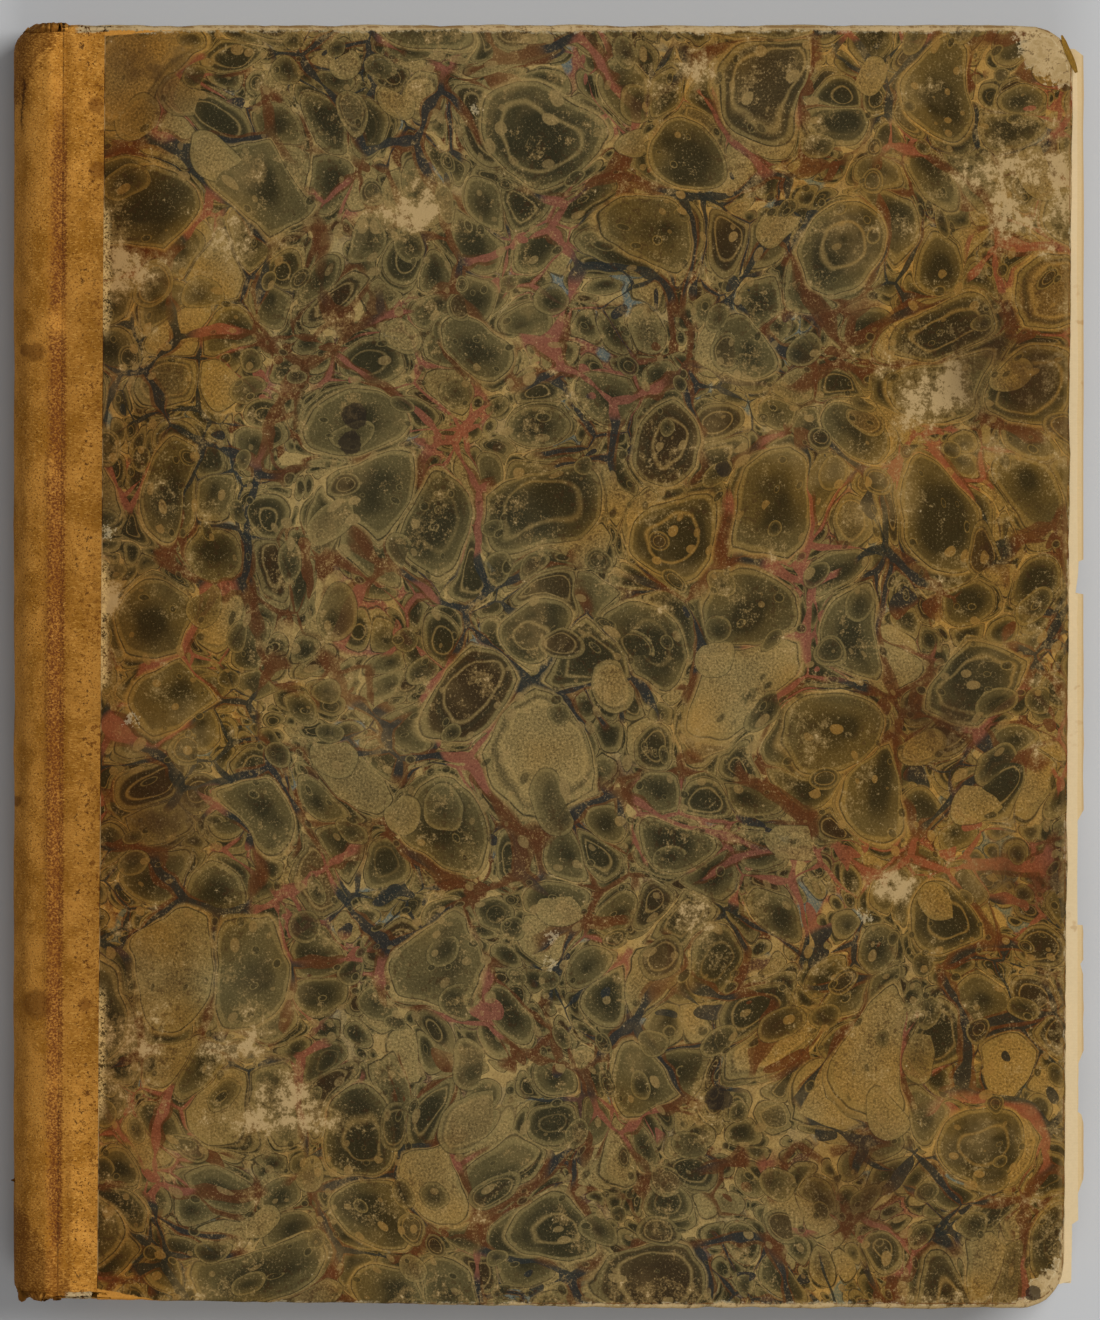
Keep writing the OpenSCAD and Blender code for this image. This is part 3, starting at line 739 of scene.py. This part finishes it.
def drawn_out(bm, y0, y1, rows):
    """Draws a chain of edges out along Y into a sheet of that many rows."""
    bmesh.ops.translate(bm, vec=(0, y0, 0), verts=bm.verts)
    got = bmesh.ops.extrude_edge_only(bm, edges=bm.edges[:])["geom"]
    bmesh.ops.translate(bm, vec=(0, y1 - y0, 0), verts=verts_of(got))
    long_edges = [e for e in bm.edges if abs(e.verts[0].co.y - e.verts[1].co.y) > 1]
    bmesh.ops.subdivide_edges(bm, edges=long_edges, cuts=rows - 1)


def paper_line(y, lean):
    """X of the line where the marbled paper is pasted over the leather."""
    return PAPER_X + lean * (y - TAIL) / (HEAD - TAIL)


def cover_slab(outline, sizes, low_z, high_z, lean, seed):
    """A board in its paper. Its corners are worn round and its edges frayed.

    The outline is a list of (x, y), and lean is how far the leather's edge leans out towards the head.
    The part that lies under the leather is left lower and shorter by the thickness of the leather.
    """
    thick = sizes.leather / MM
    bm = bmesh.new()
    bm.faces.new([bm.verts.new((x, y, 0)) for x, y in outline])
    fore = [v for v in bm.verts if v.co.x > 60]
    rounded(bm, fore, sizes.corner / MM, 10, "VERTICES")
    long_edges = [e for e in bm.edges if e.calc_length() > 40]
    bmesh.ops.subdivide_edges(bm, edges=long_edges, cuts=120)
    rag = sizes.ragged / MM
    for v in bm.verts:
        out = Vector((v.co.x * 0.8, v.co.y, 0)).normalized()
        if v.co.x > BOARD_LOW.x + 1:
            frayed = wobble(v.co.x, v.co.y, 11, seed) + 0.6 * wobble(v.co.x, v.co.y, 2.5, seed + 5)
            v.co += out * rag * frayed
    raised(bm, bm.faces[:], (0, 0, high_z - low_z))
    rims = [e for e in bm.edges if abs(e.verts[0].co.z - e.verts[1].co.z) < 0.01
            and max(e.verts[0].co.x, e.verts[1].co.x) > BOARD_LOW.x + 1]
    rounded(bm, rims, sizes.worn_rim / MM, 3)
    along = Vector((paper_line(HEAD, lean) - paper_line(TAIL, lean), HEAD - TAIL, 0))
    across = Vector((along.y, -along.x, 0)).normalized()
    for back in (0.0, 0.06):
        cut_through(bm, (paper_line(TAIL, lean) - back, TAIL, 0), across)
    for step in range(1, 5):
        cut_through(bm, (BOARD_LOW.x + step * 0.55, 0, 0), (1, 0, 0))
    for v in bm.verts:
        if v.co.x < paper_line(v.co.y, lean) - 0.05:
            sunk = thick + 1.0 * (1 - soft((v.co.x - BOARD_LOW.x) / 2.2))
            v.co.z = min(max(v.co.z, sunk), high_z - low_z - sunk)
            v.co.y = min(max(v.co.y, TAIL + thick), HEAD - thick)
    bmesh.ops.translate(bm, vec=(0, 0, low_z), verts=bm.verts)
    bmesh.ops.recalc_face_normals(bm, faces=bm.faces)
    return bm


def even_normals(piece):
    """Keeps the wide flat faces flat while the rims shade round."""
    finish = piece.modifiers.new("even_normals", "WEIGHTED_NORMAL")
    finish.keep_sharp = True


class BookSides(bpy.types.Operator):
    """Build the marbled board of the front and of the back cover."""

    bl_idname = "book.sides"
    bl_label = "Marbled Sides"

    def execute(self, context):
        sizes, hues = context.scene.book_sizes, palette()
        x0, corner = BOARD_LOW.x, sizes.corner / MM
        low, high = node_box("front_marbled_paper")
        front = [(x0, HEAD), (high.x, HEAD), (high.x - FRONT_SLANT, low.y),
                 (x0 + TAIL_RUN, low.y), (x0, TAIL)]
        rim = (x0 - 30, high.x, TAIL - 1.2, HEAD, corner, FRONT_SLANT / (HEAD - low.y))
        paper = marbled_paper("front_marbled_paper_look", hues, (0, 0), FRONT_WEAR, STAINS, BLOTS, CHIPS, rim,
                              FRONT_LEAN)
        slab = cover_slab(front, sizes, node_box("front_pastedown")[1].z, high.z, FRONT_LEAN, 3.0)
        piece = put(slab, "front_marbled_side", paper, "front_cover",
                    ("front_board", "front_marbled_paper"))
        even_normals(piece)

        low, high = node_box("back_marbled_paper")
        back = [(x0, HEAD), (high.x, HEAD), (high.x, TAIL), (x0, TAIL)]
        rim = (x0 - 30, high.x, TAIL, HEAD, corner, 0.0)
        paper = marbled_paper("back_marbled_paper_look", hues, (310, 140), BACK_WEAR, STAINS[2:], BLOTS[3:],
                              CHIPS[3:6], rim, 0.0)
        slab = cover_slab(back, sizes, low.z, node_box("back_pastedown")[0].z, 0.0, 8.0)
        piece = put(slab, "back_marbled_side", paper, "back_cover",
                    ("back_board", "back_marbled_paper"))
        even_normals(piece)
        return {"FINISHED"}


def closer_rows(y):
    """Draws the rows of a sheet together towards head and tail, where it is rounded off."""
    near = 8.0
    if HEAD - y < near:
        return HEAD - near * ((HEAD - y) / near) ** 1.8
    if y - TAIL < near:
        return TAIL + near * ((y - TAIL) / near) ** 1.8
    return y


def rounded_off(y):
    """How far the corner of the back has been worn in at this height."""
    for end, radius in ((HEAD - y, HEAD_ROUND), (y - TAIL, TAIL_ROUND)):
        if end < radius:
            return radius - math.sqrt(radius * radius - (radius - max(end, 0.0)) ** 2)
    return 0.0


def leather_half(sizes, lean):
    """The leather from the middle of the back over the front joint to the marbled paper."""
    groove, ridge = sizes.groove / MM, sizes.ridge / MM
    chord, rise = MIDDLE - groove / 3, CREASE - SPINE_LOW.x - sizes.shoulder / MM
    radius = (chord * chord + rise * rise) / (2 * rise)
    round_x = SPINE_LOW.x + radius
    half = math.asin(chord / radius)
    ridge_x = round_x - (radius - ridge) * math.cos(half)
    ridge_z = MIDDLE + (radius - ridge) * math.sin(half)
    low = Vector((CREASE - 0.15 - ridge_x, 0, TOP - groove - ridge_z))
    wall = math.atan2(low.z, low.x) + math.acos(ridge / low.length)

    bm = bmesh.new()
    line = Line(bm, SPINE_LOW.x, MIDDLE)
    line.round(round_x, MIDDLE, math.degrees(half), 30)
    line.round(ridge_x, ridge_z, 180 - math.degrees(half + wall), 9)
    line.to(CREASE - 0.15, TOP - groove, 3)
    line.to(CREASE + 0.25, TOP - groove)
    line.to(CREASE + 1.3, TOP - 0.22, 3)
    line.to(CREASE + 2.4, TOP - 0.06, 2)
    line.to(PAPER_X + lean + 1.2, TOP - 0.06, 14)
    drawn_out(bm, TAIL, HEAD, 250)
    for v in bm.verts:
        v.co.y = closer_rows(v.co.y)
    for _ in range(2):
        inner = [v for v in bm.verts if not v.is_boundary and v.co.x > ridge_x]
        bmesh.ops.smooth_vert(bm, verts=inner, factor=0.5, use_axis_x=True, use_axis_z=True)

    bmesh.ops.recalc_face_normals(bm, faces=bm.faces)
    bm.normal_update()
    out = 1 if max(bm.faces, key=lambda f: f.calc_center_median().z).normal.z > 0 else -1
    normals = {(round(v.co.x, 3), round(v.co.z, 3)): out * v.normal
               for v in bm.verts if abs(v.co.y - HEAD) < 0.01}
    for end, sign in ((HEAD, 1), (TAIL, -1)):
        edges = [e for e in bm.edges if all(abs(v.co.y - end) < 0.01 for v in e.verts)]
        for first in (True, False):
            got = bmesh.ops.extrude_edge_only(bm, edges=edges)["geom"]
            for v in verts_of(got):
                on_board = soft((v.co.x - BOARD_LOW.x + 0.9) / 1.2)
                if first:
                    inward = -normals[round(v.co.x, 3), round(v.co.z, 3)]
                    inward = Vector((inward.x, 0, inward.z)).lerp(Vector((0, 0, -1)), on_board).normalized()
                    v.co += inward * (1.55 + 1.3 * on_board)
                else:
                    v.co.y -= sign * (3.2 + 9.0 * on_board)
            edges = [g for g in got if isinstance(g, bmesh.types.BMEdge)
                     and all(x in got for x in g.verts)]
    folds = [e for e in bm.edges if len(e.link_faces) == 2 and all(
        min(abs(v.co.y - HEAD), abs(v.co.y - TAIL)) < 0.01 for v in e.verts)
        and abs(e.verts[0].co.y - e.verts[1].co.y) < 0.01 and e.calc_face_angle(0) > 1]
    rounded(bm, folds, 0.5, 3)
    bmesh.ops.recalc_face_normals(bm, faces=bm.faces)
    bm.normal_update()
    up = max(bm.faces, key=lambda f: f.calc_center_median().z)
    if up.normal.z < 0:
        bmesh.ops.reverse_faces(bm, faces=bm.faces)
        bm.normal_update()

    for v in bm.verts:
        x, y, z = v.co
        near = 1 - soft(abs(x - CREASE) / 6)
        end = min(HEAD - y, y - TAIL)
        dent = 0.22 * noise.noise((x / 14, y / 16, z / 14))
        dent += 0.09 * noise.noise((x / 3.5, y / 4, z / 3.5 + 7))
        still = soft((CREASE + 5 - x) / 6)
        v.co += v.normal * dent * still
        on_round = min(max((ridge_x - x) / (ridge_x - SPINE_LOW.x), 0), 1)
        v.co.x += near * CREASE_LEAN * y + rounded_off(y) * on_round
        v.co.y += (0.35 * wobble(x, z, 3.5, y > 0) + 0.08 * wobble(x, z, 1.2, y > 0)) * soft(1 - end / 3)
    return bm


def mirrored_down(bm):
    """Turns a piece of the front cover into one of the back cover."""
    bmesh.ops.scale(bm, vec=(1, 1, -1), verts=bm.verts)
    bmesh.ops.translate(bm, vec=(0, 0, TOP), verts=bm.verts)
    bmesh.ops.reverse_faces(bm, faces=bm.faces)
    return bm


class BookLeather(bpy.types.Operator):
    """Build the leather back, in two halves: one over the front joint, and one mirrored over the back joint.
    """

    bl_idname = "book.leather"
    bl_label = "Leather Back"

    def execute(self, context):
        sizes, hues = context.scene.book_sizes, palette()
        for cover, z, lean, nodes in (("front_cover", TOP, FRONT_LEAN, ("spine_leather", "front_leather")),
                                      ("back_cover", 0.0, 0.0, ("back_leather",))):
            front = cover == "front_cover"
            bm = leather_half(sizes, lean)
            if not front:
                mirrored_down(bm)
            look = calf(cover + "_calf", hues, front)
            piece = put(bm, cover.replace("cover", "half_leather"), look, None, nodes)
            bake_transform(piece)
            thickness = piece.modifiers.new("thickness", "SOLIDIFY")
            thickness.thickness = sizes.leather
            thickness.offset = -1
        return {"FINISHED"}


class BookLeaves(bpy.types.Operator):
    """Build the sewn leaves, fanned on to the round back, with every bunch cut a little differently."""

    bl_idname = "book.leaves"
    bl_label = "Sewn Leaves"

    def execute(self, context):
        sizes, hues = context.scene.book_sizes, palette()
        count = sizes.gatherings * sizes.bunches
        uneven, cockle = sizes.uneven / MM, sizes.cockle / MM
        leaf = sizes.leaf / MM
        low_z, high_z = LEAVES_LOW.z + 2 * leaf, LEAVES_HIGH.z - 2 * leaf
        bend = CREASE - 0.3
        pick = random.Random(7)
        bm = bmesh.new()
        edge = bm.loops.layers.uv.new("leaves")
        for k in range(count):
            bmesh.ops.create_grid(bm, x_segments=16, y_segments=1, size=0.5)
            bm.verts.ensure_lookup_table()
            fresh = [v for v in bm.verts if not v.tag]
            for v in fresh:
                v.co = Vector((v.co.x + 0.5, 0, v.co.y + 0.5))
            gathering = k // sizes.bunches
            inner = abs((k % sizes.bunches) + 0.5 - sizes.bunches / 2) / (sizes.bunches / 2)
            cut = noise.noise((gathering * 3.7, 0.5, 0)) * uneven * 0.8
            fore = SEWN_FORE + cut - abs(pick.gauss(0, uneven * 0.35)) - 0.15
            short = abs(noise.noise((gathering * 2.3, 9, 0))) + pick.random() * 0.4
            head = LEAVES_HIGH.y - 0.1 - short * uneven
            short = abs(noise.noise((gathering * 2.9, 4, 0))) + pick.random() * 0.4
            tail = LEAVES_LOW.y + 0.1 + short * uneven
            faces = list({f for v in fresh for f in v.link_faces})
            for f in faces:
                for loop in f.loops:
                    loop[edge].uv = (loop.vert.co.x, k + loop.vert.co.z)
            for v in fresh:
                s, t = v.co.x, v.co.z
                q = (k + 0.04 + 0.92 * t) / count
                flat = low_z + (high_z - low_z) * q
                angle = FOLD_ANGLE * (2 * q - 1)
                reach = FOLD_RADIUS - 0.55 * inner * inner
                fold = Vector((BACK_X - reach * math.cos(angle), 0, MIDDLE + reach * math.sin(angle)))
                if s < 0.5:
                    u = s * 2
                    x = fold.x + (bend - fold.x) * u
                    z = fold.z + (flat - fold.z) * soft(u)
                else:
                    u = (s - 0.5) * 2
                    x, z = bend + (fore - bend) * u, flat
                v.co = Vector((x, tail, z))
            raised(bm, faces, (0, head - tail, 0), use_keep_orig=True)
            for v in bm.verts:
                v.tag = True
        long_edges = [e for e in bm.edges if abs(e.verts[0].co.y - e.verts[1].co.y) > 100]
        bmesh.ops.subdivide_edges(bm, edges=long_edges, cuts=23)
        for v in bm.verts:
            x, y, z = v.co
            q = (z - low_z) / (high_z - low_z)
            free = soft((x - CREASE) / 40) * 4 * q * (1 - q)
            wave = noise.noise((x / 60, y / 28, q * 2)) + 0.4 * noise.noise((x / 40, y / 9, q * 5))
            v.co.z += cockle * free * wave
        bmesh.ops.recalc_face_normals(bm, faces=bm.faces)
        look = laid_paper("leaf_edges_look", hues, True)
        put(bm, "sewn_leaves", look, "text_block", ("text_block",), smooth=False)
        return {"FINISHED"}


def torn_leaf(outline, z, thick, seed, frayed=0.12):
    """A leaf cut to an outline of (x, y), with its fore edge frayed."""
    bm = bmesh.new()
    bm.faces.new([bm.verts.new((x, y, z)) for x, y in outline])
    long_edges = [e for e in bm.edges if e.calc_length() > 4 and e.verts[0].co.x + e.verts[1].co.x > 150]
    bmesh.ops.subdivide_edges(bm, edges=long_edges, cuts=12)
    for v in bm.verts:
        if v.co.x > 80:
            torn = noise.noise((v.co.y / 3, seed, 0)) + 0.6 * noise.noise((v.co.y / 0.9, seed, 3))
            v.co.x += frayed * torn
    raised(bm, bm.faces[:], (0, 0, thick))
    bmesh.ops.recalc_face_normals(bm, faces=bm.faces)
    return bm


class BookFlyleaves(bpy.types.Operator):
    """Build the flyleaves, whose broken fore edges stand out past the front board."""

    bl_idname = "book.flyleaves"
    bl_label = "Flyleaves"

    def execute(self, context):
        sizes, hues = context.scene.book_sizes, palette()
        leaf = sizes.leaf / MM
        out, top, bottom = LEAVES_HIGH.x, LEAVES_HIGH.y, LEAVES_LOW.y
        spine = CREASE + 2
        wide = [(spine, top), (out - 6.5, top), (out - 1.7, top - 0.1), (out, top - 1.4), (out, 20.6),
                (out - 0.9, 20.2), (out - 1.0, 17.4), (out - 1.5, 14.2), (out, 13.9), (out, -27.6),
                (out - 1.4, -30.2), (out - 1.35, -49.7), (out - 0.1, -49.8), (out, -56.4),
                (out - 0.6, -57.3), (out, -59.3), (out, -73.9), (out - 1.0, -76.4), (out - 1.1, -85.7),
                (out - 0.4, -86.3), (out, -87.9), (out, -98.7), (out - 1.1, -101.7), (out - 1.15, -105.8),
                (out - 2.2, -107.2), (out - 2.2, -108), (out - 30, -112), (spine, bottom)]
        second = [(spine, top - 0.3), (out - 7, top - 0.4), (out - 1.2, top - 2.8), (out - 1.15, 18.2),
                  (out - 1.6, 14.1), (out - 1.15, 13.9), (out - 1.15, 0), (out - 1.1, -106.6),
                  (out - 2.2, -107.4), (out - 2.3, -118.3), (out - 4.6, bottom + 0.1), (spine, bottom)]
        paper = laid_paper("flyleaf_look", hues, False)
        tanned = laid_paper("tanned_flyleaf_look", hues, False, "page_tan")
        for name, outline, z, seed in (("wide_flyleaf", wide, LEAVES_HIGH.z - 1.95 * leaf, 1.5),
                                       ("narrow_flyleaf", second, LEAVES_HIGH.z - leaf, 4.5)):
            put(torn_leaf(outline, z, 0.9 * leaf, seed), name, paper if name.startswith("narrow") else tanned,
                "text_block", smooth=False)
        back = [(spine, top - 0.4), (out - 4, top - 0.4), (out - 1.5, top - 2), (out - 1.4, bottom + 3),
                (out - 3, bottom + 0.3), (spine, bottom)]
        for n in (0, 1):
            put(torn_leaf([(x - n * 0.3, y) for x, y in back], LEAVES_LOW.z + n * leaf, 0.9 * leaf, 8.5 + n),
                "back_flyleaf_%d" % (n + 1), paper, "text_block", smooth=False)
        return {"FINISHED"}


def curl(points, thick):
    """A thin torn strip. Each point is (x, y, z, width, fall): the outer side lies that much lower."""
    bm = bmesh.new()
    rows = []
    for n, (x, y, z, width, fall) in enumerate(points):
        before, after = points[max(n - 1, 0)], points[min(n + 1, len(points) - 1)]
        along = Vector((after[0] - before[0], after[1] - before[1], 0)).normalized()
        out = Vector((-along.y, along.x, 0)) * width / 2
        rows.append([bm.verts.new(Vector((x, y, z)) + side * out - Vector((0, 0, fall)) * (1 + side) / 2)
                     for side in (-1, 0, 1)])
    for one, two in zip(rows, rows[1:]):
        for k in range(2):
            bm.faces.new((one[k], one[k + 1], two[k + 1], two[k]))
    bmesh.ops.solidify(bm, geom=bm.faces[:], thickness=thick)
    bmesh.ops.recalc_face_normals(bm, faces=bm.faces)
    return bm


class BookFrayings(bpy.types.Operator):
    """Build the torn bits that stand off the corners and the spine."""

    bl_idname = "book.frayings"
    bl_label = "Frayings"

    def execute(self, context):
        hues = palette()
        amber = plain("curled_corner_look", hues.amber, 0.5, 0.0001, streak=(2.5, 0.6, 1))
        suede = plain("frayed_calf_look", hues.calf_deep, 0.4, 0.0003)
        corner = [(98.9, 121.4, TOP + 0.10, 0.35, 0.1), (99.35, 120.1, TOP + 0.12, 1.0, 0.4),
                  (99.95, 118.5, TOP + 0.12, 1.25, 0.5), (100.7, 116.9, TOP + 0.12, 1.25, 0.5),
                  (101.25, 115.5, TOP + 0.1, 1.1, 0.4), (101.75, 114.2, TOP, 0.6, 0.3)]
        put(curl(corner, 0.12), "curled_corner", amber, "front_cover")
        x = SPINE_LOW.x
        flake = [(x + 0.8, -99.1, MIDDLE + 3, 0.9, 0), (x + 0.1, -99.3, MIDDLE + 3.1, 0.6, 0),
                 (x - 0.45, -99.25, MIDDLE + 3.2, 0.15, 0)]
        put(curl(flake, 0.2), "spine_flake", suede, "text_block")
        nub = [(x + 1.5, TAIL - 0.8, MIDDLE + 6.6, 0.7, 0.3), (x + 1.8, TAIL - 0.3, MIDDLE + 7.2, 1.6, 1.0),
               (x + 2.1, TAIL + 0.5, MIDDLE + 7.8, 2.1, 1.8), (x + 2.1, TAIL + 1.8, MIDDLE + 7.8, 2.2, 2.0),
               (x + 2.0, TAIL + 3.2, MIDDLE + 7.3, 1.3, 1.2), (x + 2.1, TAIL + 4.2, MIDDLE + 6.8, 0.5, 0.4)]
        put(curl(nub, 0.5), "tail_nub", suede, "text_block")
        return {"FINISHED"}


class BookSewing(bpy.types.Operator):
    """Give the cords, thread, lining and pastedowns their finish."""

    bl_idname = "book.sewing"
    bl_label = "Cords and Lining"

    def execute(self, context):
        hues = palette()
        cord = plain("cord_look", hues.cord, 0.5, 0.0003, streak=(1, 3, 3))
        thread = plain("thread_look", hues.thread, 0.3, 0.0002)
        lining = plain("lining_look", hues.lining, 0.8, 0.0001)
        page = laid_paper("pastedown_look", hues, False)
        looks = {"cord": cord, "slip": cord, "kettle": thread, "lining": lining, "pastedown": page}
        for obj in context.scene.objects:
            for word, look in looks.items():
                if obj.type == "MESH" and word in obj.name and obj.data.materials:
                    for slot in obj.material_slots:
                        slot.material = look
        return {"FINISHED"}


# The floor lies this far under the book, so that the two never share a plane.
FLOOR_GAP = 0.3

# Name, place and width in metres, and power in watts. SKY is the even light from all round.
LAMPS = (("key_lamp", (0.8, 0.45, 1.7), 0.7, 25.0), ("fill_lamp", (0.1, -0.9, 1.6), 0.7, 7.0))
SKY = 0.22

# A long lens straight above the cover. A pixel of the photograph is PIXEL millimetres on the book.
LENS, SENSOR = 300.0, 36.0
PHOTO_HEIGHT, PIXEL = 1320, 1 / 5.2
AIM_X, AIM_Y = 0.5, 1.25


class BookStage(bpy.types.Operator):
    """Build the floor, the lamps and the camera above the book."""

    bl_idname = "book.stage"
    bl_label = "Stage"

    def execute(self, context):
        scene = context.scene
        scene.view_settings.view_transform = "Standard"
        bm = bmesh.new()
        bmesh.ops.create_grid(bm, x_segments=1, y_segments=1, size=1500)
        bmesh.ops.translate(bm, vec=(0, 0, -FLOOR_GAP), verts=bm.verts)
        grey = (*palette().floor, 1)
        floor = put(bm, "floor", Paint("floor_look").finish(grey, 0.9, None, 0.1), smooth=False)

        for name, place, width, power in LAMPS:
            light = bpy.data.lights.new(name, "AREA")
            light.shape, light.size, light.energy = "SQUARE", width, power
            lamp = bpy.data.objects.new(name, light)
            lamp.location = place
            lamp.rotation_euler = (-Vector(place)).to_track_quat("-Z", "Y").to_euler()
            scene.collection.objects.link(lamp)
        world = bpy.data.worlds.new("studio")
        world.use_nodes = True
        world.node_tree.nodes["Background"].inputs["Color"].default_value = (1, 1, 1, 1)
        world.node_tree.nodes["Background"].inputs["Strength"].default_value = SKY
        scene.world = world

        camera = bpy.data.cameras.new("camera")
        camera.lens, camera.sensor_width, camera.sensor_fit = LENS, SENSOR, "AUTO"
        camera.clip_end = 20
        view = bpy.data.objects.new("camera", camera)
        view.location = (AIM_X * MM, AIM_Y * MM, (TOP + PHOTO_HEIGHT * PIXEL * LENS / SENSOR) * MM)
        scene.collection.objects.link(view)
        scene.camera = view
        return {"FINISHED"}


STEPS = (BookStage, BookSides, BookLeather, BookLeaves, BookFlyleaves, BookFrayings, BookSewing)


class BookPanel(bpy.types.Panel):
    """Lists the book's pieces in the sidebar."""

    bl_idname = "VIEW3D_PT_book"
    bl_label = "Book"
    bl_space_type = "VIEW_3D"
    bl_region_type = "UI"
    bl_category = "Book"

    def draw(self, context):
        for group in (context.scene.book_sizes, context.scene.book_colours):
            for name in group.__annotations__:
                self.layout.prop(group, name)
        for step in STEPS:
            self.layout.operator(step.bl_idname)


CLASSES = (BookSizes, BookColours, *STEPS, BookPanel)


def register():
    for cls in CLASSES:
        bpy.utils.register_class(cls)
    bpy.types.Scene.book_sizes = bpy.props.PointerProperty(type=BookSizes)
    bpy.types.Scene.book_colours = bpy.props.PointerProperty(type=BookColours)


def unregister():
    del bpy.types.Scene.book_colours
    del bpy.types.Scene.book_sizes
    for cls in reversed(CLASSES):
        bpy.utils.unregister_class(cls)


def main():
    register()
    for step in STEPS:
        group, name = step.bl_idname.split(".")
        getattr(getattr(bpy.ops, group), name)()


if __name__ == "__main__":
    main()
